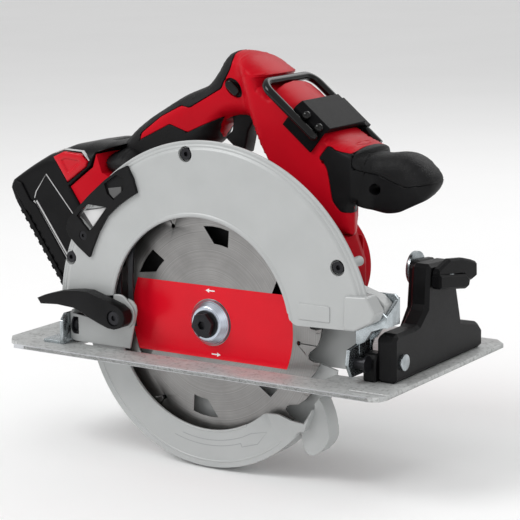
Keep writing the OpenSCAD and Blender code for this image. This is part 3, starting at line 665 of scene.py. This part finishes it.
TRIGGER_SLOT = [(-16.5, 134), (-16.5, 158), (10.5, 158), (10.5, 134)]
SLOT_Y = (HAND_Y - 9, HAND_Y + 9)
red = skin("handle_shell", lambda p: not is_black(p) and not front_part(p), [BLACK_TOP, BLACK_LOW])
LOCK_X, LOCK_Z = -3, 162
LOCK_COS, LOCK_SIN = 0.77, 0.64
ROD_LOOP = circle_loop(-3.5, 161.5, 4.4, 24)


def on_grip(u, v):
    """From axes along and across the grip at the lock-off button to the arbor frame."""
    return LOCK_X + u * LOCK_COS + v * LOCK_SIN, LOCK_Z - u * LOCK_SIN + v * LOCK_COS


recess = [on_grip(8.6 * math.cos(a), 5.6 * math.sin(a)) for a in [2 * math.pi * i / 36 for i in range(36)]]
cut(red, [prism("slot_tool", TRIGGER_SLOT, *SLOT_Y), prism("recess_tool", recess, 10, 40.2),
          prism("button_tool", ROD_LOOP, 10, 90)])
piece(red, "housing", "red_plastic", replaces=("handle_right", "handle_left"))
FLOOR_SCALE = 0.98
floor_loop = [(LOCK_X + (x - LOCK_X) * FLOOR_SCALE, LOCK_Z + (z - LOCK_Z) * FLOOR_SCALE) for x, z in recess]
# Floor of the lock-off recess in near-black: painted shade in the hollow round the button.
recess_floor = prism("lock_off_recess", floor_loop, 39.8, 40.3)
cut(recess_floor, [prism("button_tool2", ROD_LOOP, 10, 90)])
piece(recess_floor, "housing", "black_plastic", "hollow_painted_shade")

black = skin("grip_skin", is_black, [BLACK_TOP, BLACK_LOW], 0.45)
cut(black, [prism("slot_tool2", TRIGGER_SLOT, *SLOT_Y)])
piece(black, "housing", "overmould", replaces=("grip_overmould",))

BUTTON = [on_grip(u, v) for u, v in
          round_corners([(-6.4, -3.2), (6.4, -3.2), (6.4, 3.2), (-6.4, 3.2)], 3.1)]
button = prism("lock_off_button", BUTTON, 34.2, 37.2, 1.1)
piece(button, "lock_off", "black_plastic", "hook_black", replaces=("lock_off",))
push_rod = lathe("lock_off_rod", -3.5, 161.5, [(0.05, 36.9), (4, 36.9), (4, 70.8), (3.2, 71.6),
                                               (0.05, 71.6)], 32)
piece(push_rod, "lock_off", "black_plastic")

BOOT = round_corners([(-114.5, 109), (-116, 101.5), (-112, 94), (-100, 88), (-86, 89), (-72, 100),
                      (-82, 110), (-92, 114.5), (-99, 115)], 3)
BOOT_HALF, BOOT_ROUND = 33, 13
boot_field = Field([BOOT], lambda p: in_poly(p, BOOT))
boot = solid_between("grip_boot", [BOOT], lambda p: in_poly(p, BOOT),
                     lambda p: HAND_Y - BOOT_HALF * dome(boot_field(p), BOOT_ROUND),
                     lambda p: HAND_Y + BOOT_HALF * dome(boot_field(p), BOOT_ROUND),
                     2.1, boot_field, HANDLE_RINGS, 2)
piece(boot, "housing", "overmould")

# ---------------------------------------------------------------- controller housing

BLOCK = [(30, 72), (62, 68), (96, 64.6), (99.5, 60), (101.4, 52), (101.6, 36), (99, -13), (90, -21.5),
         (38, -21.5)]
block = prism("controller_block", round_corners(BLOCK, 4), 24, 66)
LEAN_Z = 43


def wedge_tool(name, lean):
    """Oblique cutter along the far right edge; it leans to the left by lean per mm of height."""
    profile = [(108, 34), (102.2, 40), (99.6, 45), (93.5, 56), (87.4, 66.2), (87.4, 70), (108, 70)]
    if lean:
        profile = [(108, 10), (102.4, 10)] + profile[1:]
    return extrusion(name, [[row(x - lean * (z - LEAN_Z), y, z) for x, y in profile] for z in (-40, 90)])


cut(block, [prism("motor_bore", MOTOR_CLEAR, 10, 80),
            wedge_tool("edge_tool", 0.0), wedge_tool("brow_tool", 0.36),
            prism("cover_seat", [(70, 80), (70, -12), (99, -12), (99, 80)], 63.8, 80),
            prism("seam_tool", [(20, 80), (20, 63.6), (60, 65.8), (99, 65.1), (99, 80)], 20, 70)])
soften(block, 1.6, 3, weld=False)
# Controller block in the darker red: painted shade on the housing low down.
piece(block, "housing", "red_plastic", "red_painted_shade", replaces=("controller_housing",))
NECK = round_corners([(56, 60), (62, 75), (84, 75), (89, 66), (89.5, 56), (70, 52)], 3)
# Neck in the darker red: painted shade.
neck = prism("housing_neck", NECK, 26.5, 50, 2.2)
piece(neck, "housing", "red_plastic", "red_painted_shade")
COVER = round_corners([(71, 60), (71, -10), (86.5, -10), (86.5, 60)], 3)
panel_cover = prism("controller_panel", COVER, 63.9, 65.9, 0.8)
piece(panel_cover, "housing", "red_plastic", replaces=("controller_cover",))

# ---------------------------------------------------------------- front handle

collar = skin("front_handle_skin", lambda p: front_part(p) and not in_poly(p, KNOB_TOP), [KNOB_TOP])
cut(collar, [prism("hole_tool", HOLE, 20, HAND_Y + 6)])
piece(collar, "housing", "black_plastic", replaces=("front_handle",))
palm = skin("front_grip_skin", lambda p: front_part(p) and in_poly(p, KNOB_TOP), [KNOB_TOP], 0.2)
piece(palm, "housing", "grip_rubber", replaces=("front_grip",))

# ---------------------------------------------------------------- upper guard

CLIP = [(-135, 13.5), (-75, 11), (0, 8), (75, 10), (128, 11.5), (141, 19), (144, 25), (142, 60),
        (142, 140), (-135, 140)]
CHUTE = [(-103, 70), (-97, 75.5), (-76, 79), (-88, 63), (-92, 60)]
SCREW_POCKET_R = 5.6
SCREWS = [(-8, 121), (-112.5, 39), (114, 53)]
FACE_Y = -16.6
WINDOW_C, WINDOW_R = (0.6, 2.2), 75.2
THROUGH, NEAR_WALL = (-30, 30), (-30, -10)
FACE_PROFILE = [(111.4, 15), (113.6, 15), (116.2, 10), (119.2, 5), (122.4, 0), (125.4, -5), (128.2, -9.6),
                (130.6, -12.6), (131.6, -13.4), (131.8, -14.2), (131.6, -14.9), (131.0, -15.2),
                (130.0, -15.1), (129.5, -14.9), (129.1, -15.3), (128.5, -15.9), (127.7, -16.0),
                (127.1, -15.7), (126.7, -15.8), (126.2, -16.4), (125.2, -16.9), (123.6, -16.9),
                (122.4, FACE_Y), (112, FACE_Y), (50, FACE_Y), (50, -14.4), (124, -14.4), (125.4, -9.6),
                (122.8, -5), (120, 0), (116.8, 5), (113.8, 10)]
CORNER_X, CORNER_Z, CORNER_R = 82.4, 17.2, 7.0
CORNER = [(73, 6), (73, CORNER_Z + 0.6), (CORNER_X - CORNER_R, CORNER_Z + 0.6)] + [
    (CORNER_X + CORNER_R * math.cos(math.radians(a)), CORNER_Z + CORNER_R * math.sin(math.radians(a)))
    for a in range(180, 271, 9)] + [(CORNER_X, 6)]
face = lathe("guard_face", *GUARD_C, FACE_PROFILE, 240)
cut(face, [prism("clip_tool", round_corners(CLIP, 2.5), *THROUGH)], "INTERSECT")
cut(face, [prism("window_tool", circle_loop(*WINDOW_C, WINDOW_R, 200), *THROUGH),
           prism("chute_tool", CHUTE, *NEAR_WALL), prism("corner_tool", CORNER, *THROUGH)]
    + [prism(f"screw_tool_{i}", circle_loop(x, z, SCREW_POCKET_R, 32), *NEAR_WALL)
       for i, (x, z) in enumerate(SCREWS)])
piece(face, "housing", "guard_paint", replaces=("upper_guard",))

bead = lathe("guard_window_bead", *WINDOW_C,
             [(WINDOW_R, -14.4), (WINDOW_R, -16.4), (75.7, -17.0), (76.6, -17.3), (77.6, -17.1),
              (78.6, -16.5), (78.6, -14.4)], 200)
cut(bead, [prism("bead_clip", [(-100, 15), (100, 13), (100, 100), (-100, 100)], *THROUGH)], "INTERSECT")
cut(bead, [prism("bead_chute", CHUTE, *NEAR_WALL)])
cut(bead, [prism("corner_tool2", CORNER, *THROUGH)])
piece(bead, "housing", "guard_paint")


def guard_plate(name, inside, loops, y0, y1, mat=None):
    """Flat plate of the guard casting over a region with holes."""
    o = solid_between(name, loops, inside, lambda p: y0, lambda p: y1, 4.0)
    return piece(o, "housing", "guard_paint", mat)


BACK_R, SHADE_SHEET_R = 112.6, 111.0
BACK_LOOP = circle_loop(*GUARD_C, BACK_R, 160)
SHADE_SHEET_LOOP = circle_loop(*GUARD_C, SHADE_SHEET_R, 160)
SEAT_OUT, SEAT_IN, SHADE_SHEET_HOLE = 25.5, 23, 30
guard_plate("guard_back",
            lambda p: (in_poly(p, CLIP) and in_poly(p, BACK_LOOP) or math.hypot(*p) < SEAT_OUT)
            and math.hypot(*p) > SEAT_IN,
            [BACK_LOOP, CLIP, circle_loop(0, 0, SEAT_OUT), circle_loop(0, 0, SEAT_IN)], 12.5, 15.0)
# Thin near-black sheet just inside the guard's far wall: painted shade over the inside of the upper guard.
guard_plate("guard_inner_painted_shade",
            lambda p: in_poly(p, CLIP) and in_poly(p, SHADE_SHEET_LOOP) and math.hypot(*p) > SHADE_SHEET_HOLE,
            [SHADE_SHEET_LOOP, CLIP, circle_loop(0, 0, SHADE_SHEET_HOLE)], 12.2, 12.45, "hollow_painted_shade")
TAB_ALL = round_corners([(-90, 14), (-90, 4), (-72, -8), (-62, -9), (-56, -3), (-56, 6), (-66, 16)], 4)
tab = prism("guard_tab", TAB_ALL, -16.6, -14.4, 0.8)
piece(tab, "housing", "guard_paint")
boss = prism("guard_front_boss", [(119, 11.2), (128, 11.5), (141, 18.5), (144, 25), (137, 36),
                                  (120, 35)], -19, -5.1, 1.8)
piece(boss, "housing", "guard_paint")
lug = prism("guard_pivot_lug", [(111, 14), (136, 14), (142, 20), (142, 27), (136, 32.5), (111, 40)],
            -2, 10, 1.2)
piece(lug, "housing", "guard_paint")

for i, (x, z) in enumerate(SCREWS):
    seat = lathe(f"guard_screw_seat_{i}", x, z, [(2.1, 12.4), (2.1, -11.9), (6.6, -11.9), (6.6, -4),
                                                 (5.6, -1.5), (3.4, 1), (3.4, 12.4)], 40)
    piece(seat, "housing", "guard_paint")

skirt = prism("guard_far_skirt", [(62, 12), (122, 12), (126, 4), (122, -8), (108, -24), (66, -24)], 12.6,
              14.6, 0.5, 2)
piece(skirt, "housing", "guard_paint")
panel = prism("guard_panel", round_corners([(83, 15), (108, 15), (108, 26), (83, 26)], 1.5), -17.3,
              -16.0, 0.4)
piece(panel, "housing", "guard_paint")

# ---------------------------------------------------------------- blade label and marks


BAND_TOP, BAND_LOW, BAND_R, LABEL_HOLE = 29.0, -28.0, 68.5, 17
band = []
for i in range(13):
    a = math.radians(22.5 - 45 * i / 12)
    band.append((BAND_R * math.cos(a), BAND_R * math.sin(a)))
band = [p for p in band if BAND_LOW <= p[1] <= BAND_TOP]
left = [(-x, z) for x, z in reversed(band)]
label = solid_between("blade_label", [band + left, circle_loop(0, 0, LABEL_HOLE, 48)],
                      lambda p: in_poly(p, band + left) and math.hypot(*p) > LABEL_HOLE,
                      lambda p: -0.78, lambda p: -0.66, 5.0)
piece(label, "spindle", "blade_steel", "label_red")


def arrow(cx, cz, s, flip):
    """Outline of a small arrow along X."""
    pts = [(-6, -0.7), (1.5, -0.7), (1.5, -2.4), (6.5, 0), (1.5, 2.4), (1.5, 0.7), (-6, 0.7)]
    return [(cx + (-x if flip else x) * s, cz + z * s) for x, z in pts]


for name, cx, cz, flip in (("blade_arrow_top", 0, 22.8, True), ("blade_arrow_low", 4, -22.8, False)):
    mark = prism(name, arrow(cx, cz, 0.62, flip), -0.84, -0.76)
    piece(mark, "spindle", "blade_steel", "mark_white")

# ---------------------------------------------------------------- lower guard lip


def arc_tube(name, r, a0, a1, y, rad, n=64, m=10):
    """Rounded bead along an arc about the arbor, from angle a0 to a1."""
    bm = bmesh.new()
    rings = []
    for i in range(n + 1):
        a = math.radians(a0 + (a1 - a0) * i / n)
        ring = []
        for j in range(m):
            t = 2 * math.pi * j / m
            rr = r + rad * math.cos(t)
            ring.append(bm.verts.new(row(math.cos(a) * rr, y + rad * 0.7 * math.sin(t),
                                         math.sin(a) * rr)))
        rings.append(ring)
    for i in range(n):
        for j in range(m):
            bm.faces.new([rings[i][j], rings[i][(j + 1) % m], rings[i + 1][(j + 1) % m],
                          rings[i + 1][j]])
    bm.faces.new(rings[0])
    bm.faces.new(list(reversed(rings[-1])))
    return build(name, bm, 50)


def stroke(name, pts, width, y0, y1, body, slot, mat):
    """Thin raised line along an open polyline."""
    left, right = [], []
    for i, p in enumerate(pts):
        a, b = Vector(pts[max(i - 1, 0)]), Vector(pts[min(i + 1, len(pts) - 1)])
        t = (b - a).normalized() * (width / 2)
        left.append((p[0] - t.y, p[1] + t.x))
        right.append((p[0] + t.y, p[1] - t.x))
    return piece(prism(name, left + list(reversed(right)), y0, y1), body, slot, mat)


def recut(node, name, tools, bevel):
    """Copy of a CAD node with some material taken away, shown instead of it."""
    bm = bmesh.new()
    bm.from_mesh(NODES[node].data)
    bmesh.ops.remove_doubles(bm, verts=bm.verts, dist=0.00001)
    me = bpy.data.meshes.new(name)
    bm.to_mesh(me)
    bm.free()
    o = bpy.data.objects.new(name, me)
    bpy.context.scene.collection.objects.link(o)
    cut(o, tools)
    smooth(o.data)
    if bevel:
        soften(o, bevel, 2, weld=False)
    return o


TOE_CUT = [(82, -66), (78, -66.6), (75.6, -68.6), (74, -72), (74, -90), (112, -90), (112, -38),
           (90, -38), (86, -56)]
low_guard = recut("lower_guard", "lower_guard_shell",
                  [prism("toe_tool", TOE_CUT, -12, -3.4)], 0.7)
piece(low_guard, "lower_guard", "guard_paint", replaces=("lower_guard",))
toe_top = prism("lower_guard_toe_top", [(98.5, -66), (98.2, -60), (96.6, -53.5), (93.4, -46), (90.4, -42.2),
                                        (86.6, -47), (87, -55), (90, -62)], -3.3, 9.9, 0.7, 2)
piece(toe_top, "lower_guard", "guard_paint")
piece(arc_tube("lower_guard_lip", 76.6, -186, -63, -9.3, 1.0), "lower_guard", "guard_paint")
piece(arc_tube("lower_guard_rib", 98.6, -180, -50, -9.2, 1.0), "lower_guard", "guard_paint")
ARROW_R, ARROW_BAND = 87.2, 4
ARROW_Y = (-9.68, -9.55)


def guard_arc(r, first, last):
    """Points of an arc about the arbor, one every two degrees."""
    return [(r * math.cos(math.radians(a)), r * math.sin(math.radians(a))) for a in range(first, last, 2)]


shaft = guard_arc(ARROW_R, -108, -69)
back = guard_arc(ARROW_R - ARROW_BAND, -104, -66)
head = [shaft[-1], (30.6, -84.4), (43.9, -80.4), (51.9, -70.5), (38.3, -73.6), back[-1]]
for name, line in (("arrow_shaft", shaft), ("arrow_shaft_upper", back), ("arrow_head", head)):
    stroke(name, line, 0.5, *ARROW_Y, "lower_guard", "guard_paint", "mark_grey")

# ---------------------------------------------------------------- battery details

PACK_X, PACK_Z, PACK_TILT = -138.0, 84.0, math.radians(55)


def pack(x, z):
    """From the tilted battery's own axes to the arbor frame."""
    return (PACK_X + x * math.cos(PACK_TILT) + z * math.sin(PACK_TILT),
            PACK_Z - x * math.sin(PACK_TILT) + z * math.cos(PACK_TILT))


PACK = [pack(x, z) for x, z in [(-20, -51), (-29, -49), (-33, -44), (-33, -24), (-31.5, -5), (-27, 14),
                                (-20, 29), (-11, 43), (-4.6, 50), (-8.6, 34), (-2.4, 27), (-0.8, -0.2),
                                (85, -0.2), (85, -49), (83, -51)]]
CREST = [pack(x, z) for x, z in [(-36, -60), (-33, -24), (-31.5, -5), (-27, 14), (-20, 29), (-11, 43),
                                 (-4.6, 50)]]
PACK_NEAR, PACK_FAR = HAND_Y - 37.5, HAND_Y + 37.5


def to_polyline(p, pts):
    """Distance from a point to an open polyline."""
    q = Vector(p)
    best = 1e9
    for i in range(len(pts) - 1):
        a, b = Vector(pts[i]), Vector(pts[i + 1])
        ab = b - a
        t = min(max((q - a).dot(ab) / ab.length_squared, 0.0), 1.0)
        best = min(best, (q - a - ab * t).length)
    return best


def shoulder(p):
    """How far the pack's sides draw in towards its domed top."""
    depth = 5 + 11 * step01(-175, -125, p[0])
    reach = 9 + 17 * step01(-178, -120, p[0])
    d = to_polyline(p, CREST)
    return reach * (1 - dome(max(d, 0.0), depth, 2.4))


pack_field = Field([PACK], lambda p: in_poly(p, PACK))
case = solid_between("battery_shell", [PACK], lambda p: in_poly(p, PACK),
                     lambda p: PACK_NEAR + shoulder(p) + 1.2 * (1 - dome(pack_field(p), 1.2)),
                     lambda p: PACK_FAR - shoulder(p) - 1.2 * (1 - dome(pack_field(p), 1.2)),
                     2.2, pack_field, (0.15, 0.5, 1.2, 2.4, 4.0, 6.0, 8.5), 0)
LATCH = [pack(x, z) for x, z in [(-26, 1), (-24, 12), (-14, 24.5), (-6, 26), (-4, 23), (-4, 1)]]
POCKET = [pack(x, z) for x, z in [(-27, 0.2), (-25, 12.4), (-14.6, 25.4), (-5.6, 27), (-3.3, 23.2),
                                  (-3.3, 0.2)]]
cut(case, [prism("latch_tool_r", POCKET, 10, 23), prism("latch_tool_l", POCKET, 85, 98)])
piece(case, "battery", "battery_black", replaces=("battery_case",))


def pack_box(x0, x1, z0, z1):
    """Rectangle in the battery's axes."""
    return [pack(x0, z0), pack(x1, z0), pack(x1, z1), pack(x0, z1)]


tongue = prism("battery_tongue", pack_box(4, 60, -0.9, 4.2), HAND_Y - 17.4, HAND_Y + 17.4)
rails = prism("battery_rail_wings", pack_box(4, 60, 3.9, 11.9), HAND_Y - 21, HAND_Y + 21)
for o in (tongue, rails):
    cut(o, [prism("terminal_tool", pack_box(30, 70, 2.5, 22.5), HAND_Y - 15.2, HAND_Y + 15.2)])
    soften(o, 0.6, 2, weld=False)
    piece(o, "battery", "battery_black")


def latch(name, y_out, side):
    """Latch button with a raised rim and a sunk thumb panel."""
    f = Field([LATCH], lambda p: in_poly(p, LATCH))

    def outer(p):
        d = f(p)
        return y_out + side * (1.3 * (1 - dome(d, 1.5)) + 0.9 * step01(4.6, 5.6, d))
    inner_y = y_out + side * 4.5
    near, far = (outer, lambda p: inner_y) if side > 0 else (lambda p: inner_y, outer)
    return solid_between(name, [LATCH], lambda p: in_poly(p, LATCH), near, far, 1.5, f,
                         (0.2, 0.7, 1.5, 3.4, 4.5, 4.9, 5.4, 6.0))


piece(latch("latch_right_skin", HAND_Y - 38.6, 1), "latch_right", "red_gloss",
      replaces=("latch_right",))
piece(latch("latch_left_skin", HAND_Y + 38.6, -1), "latch_left", "red_gloss", replaces=("latch_left",))

side_rail = prism("battery_side_rail", [pack(-32.4, -42), pack(-26, -46), pack(-8, -46.5), pack(-4, -44),
                                        pack(82, -44), pack(82, -35), pack(-6, -35), pack(-12, -38),
                                        pack(-26, -37)], PACK_NEAR - 1.6, PACK_NEAR + 1, 0.8, 1)
piece(side_rail, "battery", "battery_black")
low_rail = prism("battery_low_rail", [pack(-18, -50.4), pack(82, -50.4), pack(82, -46.5), pack(-18, -46.5)],
                 PACK_NEAR - 1.0, PACK_NEAR + 1, 0.6, 1)
piece(low_rail, "battery", "battery_black")
RIBS, RIB_START, RIB_PITCH, RIB_WIDTH = 13, -10, 7, 3.4
for i in range(RIBS):
    x = RIB_START + RIB_PITCH * i
    tooth = prism(f"battery_rib_{i}", pack_box(x, x + RIB_WIDTH, -50.8, -46), PACK_NEAR - 1.5,
                  PACK_NEAR + 1, 0.4, 1)
    piece(tooth, "battery", "battery_black")
# Grey lines on the battery's near side: the printed frame of the label, two painted highlights along the
# top edge of the side rail, and a painted highlight round the edge of the latch pocket.
PANEL_LINE = [(-159.9, 92.2), (-170.2, 78.2), (-171.8, 73.4)]
LATCH_HIGHLIGHT = [pack(x, z) for x, z in [(-27.4, 5), (-25.2, 13.2), (-15.2, 26.4), (-6, 28)]]
for name, line, width, out, sunk in (
        ("battery_panel_line", [(-124, 51.2)] + PANEL_LINE, 0.7, 0.25, 0.2),
        ("battery_stripe_0", [(-172.6, 71.0), (-135, 19.0)], 1.5, 0.35, 0.2),
        ("battery_stripe_1", [(-170.0, 71.4), (-132.6, 19.4)], 1.3, 0.3, 0.2),
        ("battery_latch_line", LATCH_HIGHLIGHT, 0.7, 0.3, 2.5)):
    stroke(name, line, width, PACK_NEAR - out, PACK_NEAR + sunk, "battery", "battery_black", "grey_print_and_highlight")

# ---------------------------------------------------------------- dust chute

CHUTE_PLATE = [(-57, 110), (-52, 101), (-49, 91), (-57.7, 86), (-66, 80.4), (-76, 72), (-84, 60),
               (-90, 48), (-93, 41), (-103, 48), (-111, 55), (-113.4, 60), (-111.5, 67), (-103, 76),
               (-91, 87), (-77, 98.4), (-65, 106.4)]
CHUTE_POCKET = [(-77.5, 95.6), (-66.5, 102.8), (-60, 101.2), (-59.6, 93), (-69.6, 84.6), (-75, 88.6)]
CHUTE_HOLE = [(-103.3, 70.5), (-98, 76.3), (-93.9, 79.8), (-86, 79.4), (-75.7, 78.7), (-84, 68.6),
              (-88.3, 63.8), (-92.7, 60.0)]
chute = prism("dust_chute_plate", CHUTE_PLATE, -19.2, -16.7)
cut(chute, [prism("chute_hole_tool", CHUTE_HOLE, -25, -10),
            prism("chute_pocket_tool", CHUTE_POCKET, -25, -17.3),
            prism("chute_screw_tool", circle_loop(-98, 56.5, 3.4, 28), -25, -10)])
soften(chute, 0.45, 2, weld=False)
piece(chute, "housing", "black_plastic", replaces=("dust_chute",))
tab_in = prism("chute_tab", [(-75, 92.6), (-63.2, 94.4), (-63, 90.6), (-70, 85.2), (-73.6, 88.6)], -18.2,
               -17.2, 0.5, 2)
piece(tab_in, "housing", "black_plastic", "dark_grey_and_painted_shade")
# Guard casting seen through the chute opening, brightened: painted highlight.
ramp = prism("chute_ramp", [(-100.2, 73.8), (-78.9, 77.9), (-91.5, 62.9)], -15.4, -14.9, 0.2, 1)
piece(ramp, "housing", "guard_paint", "ramp_painted_highlight")
# Dark sheet behind the chute opening: painted shade on the guard casting inside the chute.
shade = prism("chute_wall_painted_shade", [(-104, 71), (-96, 79.5), (-74, 79.5), (-92.5, 59)], -14.85, -14.45)
piece(shade, "housing", "guard_paint", "dark_grey_and_painted_shade")

# ---------------------------------------------------------------- bevel quadrant and saddle screws

DECK = -25.35
QUAD = [(-3, DECK), (-3, 5), (1, 8), (25, 8), (31, 9), (42, 18), (43, 33), (45, 48), (80, 46), (85, 28),
        (93, 0), (119, -6), (125, -12), (125, DECK)]
quad = prism_x("quadrant_front", QUAD, 135.6, 150, 3.0, 1)
piece(facet(quad), "shoe", "black_plastic", replaces=("bevel_quadrant",))
quad_back = prism_x("quadrant_back", [(52, 32), (53, 44), (57, 47.6), (80, 46), (83, 30), (92, DECK),
                                      (34, DECK), (39, 3), (50, 16)], 129, 135.7, 1.4, 1)
piece(facet(quad_back), "shoe", "black_plastic")
quad_foot = prism_x("quadrant_foot", [(-4.6, DECK), (-4.6, -12), (-2, -6), (8, -6), (8, DECK)], 126, 135.7,
                    1.0, 1)
piece(facet(quad_foot), "shoe", "black_plastic")
LEVER_LOW = [(45, 31.5), (45, 41.5), (84, 35.5), (90, 31), (88, 26), (84, 25.2)]
LEVER_TOP = [(45.5, 40), (47, 44.4), (64, 49.4), (84, 46.8), (96, 43.6), (104, 40.8), (104.4, 30.5),
             (97, 29), (89, 30), (84, 35)]
lever = prism_x("bevel_lever_top", LEVER_TOP, 150.4, 156.2, 1.5, 1)
piece(facet(lever), "bevel_lever", "black_plastic", "satin_black", replaces=("bevel_lever",))
lobe = prism_x("bevel_lever_front", LEVER_LOW, 150.5, 158.4, 1.5, 1)
piece(facet(lobe), "bevel_lever", "black_plastic", "satin_black")
SADDLE = [(24.9, -17), (24.9, 0), (29, 4.8), (77, 4.8), (83.2, -0.4), (90.6, -0.4), (90.6, -9),
          (83.2, -9), (83.2, -17), (81.1, -17), (81.1, 0.4), (26.9, 0.4), (26.9, -17)]


def along_column(name, poly, x0, x1, bevel):
    """Extrusion of a profile in Y and height along the column."""
    ends = [[row(col(x, z)[0], y, col(x, z)[1]) for y, z in poly] for x in (x0, x1)]
    return extrusion(name, ends, bevel, 2)


saddle = along_column("hook_saddle_shell", SADDLE, -13, 16, 0.6)
piece(saddle, "housing", "black_plastic", "satin_black", replaces=("hook_saddle",))
for i, (x, z) in enumerate([(-2.0, 1.2), (10.5, 1.2)]):
    cx, cz = col(x, z)
    head = lathe(f"saddle_screw_{i}", cx, cz, [(0.02, 25.2), (3.2, 25.2), (3.2, 24.2), (2.9, 23.2),
                                               (2.2, 22.4), (1.2, 22.0), (0.02, 21.9)], 36)
    piece(head, "housing", "hook_black")

# ---------------------------------------------------------------- shoe details

edge = prism("shoe_bright_edge", [(-150, -28.55), (150, -28.55), (150, -25.45), (-150, -25.45)],
             -39.2, -39.0)
piece(edge, "shoe", "shoe_cast", "steel")

# ---------------------------------------------------------------- stage, light, camera

FLOOR_Z, FLOOR_SIZE, SKY = -0.0762, 12, 0.66
bpy.ops.mesh.primitive_plane_add(size=FLOOR_SIZE, location=(0, 0, FLOOR_Z))
floor = bpy.context.object
floor.name = "floor"
floor.data.materials.append(
    material("floor_paint", (0.97, 0.97, 0.97), 0.75, 0, 40, 0.02, 0.01, 3, 0.04))

world = bpy.data.worlds.new("studio")
bpy.context.scene.world = world
world.use_nodes = True
world.node_tree.nodes["Background"].inputs["Color"].default_value = (1, 1, 1, 1)
world.node_tree.nodes["Background"].inputs["Strength"].default_value = SKY
bpy.context.scene.view_settings.view_transform = "Standard"
bpy.context.scene.view_settings.look = "None"


def area(name, place, aim, size, power):
    """Soft rectangular lamp at a place, turned towards its aim."""
    l = bpy.data.lights.new(name, "AREA")
    l.shape = "RECTANGLE"
    l.size, l.size_y = size
    l.energy = power
    o = bpy.data.objects.new(name, l)
    bpy.context.scene.collection.objects.link(o)
    o.location = place
    o.rotation_mode = "QUATERNION"
    o.rotation_quaternion = (Vector(aim) - Vector(place)).to_track_quat("-Z", "Y")


area("key", (-0.9, -1.3, 1.5), (0, 0, 0.08), (1.0, 1.0), 21)
area("fill", (1.6, -1.0, 0.9), (0, 0, 0.05), (1.2, 1.2), 3)
area("rim", (0.2, 1.5, 1.3), (0, 0, 0.1), (1.4, 0.8), 8)

AZ, EL, ROLL = math.radians(33.50), math.radians(11.01), math.radians(-0.81)
DIST, LENS, SENSOR = 1.330, 133.61538, 36
AIM = Vector((0.04639, -0.0553, 0.07728))
back = Vector((math.sin(AZ) * math.cos(EL), -math.cos(AZ) * math.cos(EL), math.sin(EL)))
right = Vector((math.cos(AZ), math.sin(AZ), 0))
up = back.cross(right)
r2 = math.cos(ROLL) * right + math.sin(ROLL) * up
u2 = -math.sin(ROLL) * right + math.cos(ROLL) * up
cam_data = bpy.data.cameras.new("camera")
cam_data.lens = LENS
cam_data.sensor_width = SENSOR
cam_data.clip_start = 0.05
cam = bpy.data.objects.new("camera", cam_data)
bpy.context.scene.collection.objects.link(cam)
m = Matrix((r2, u2, back)).transposed().to_4x4()
m.translation = AIM + back * DIST
cam.matrix_world = m
bpy.context.scene.camera = cam
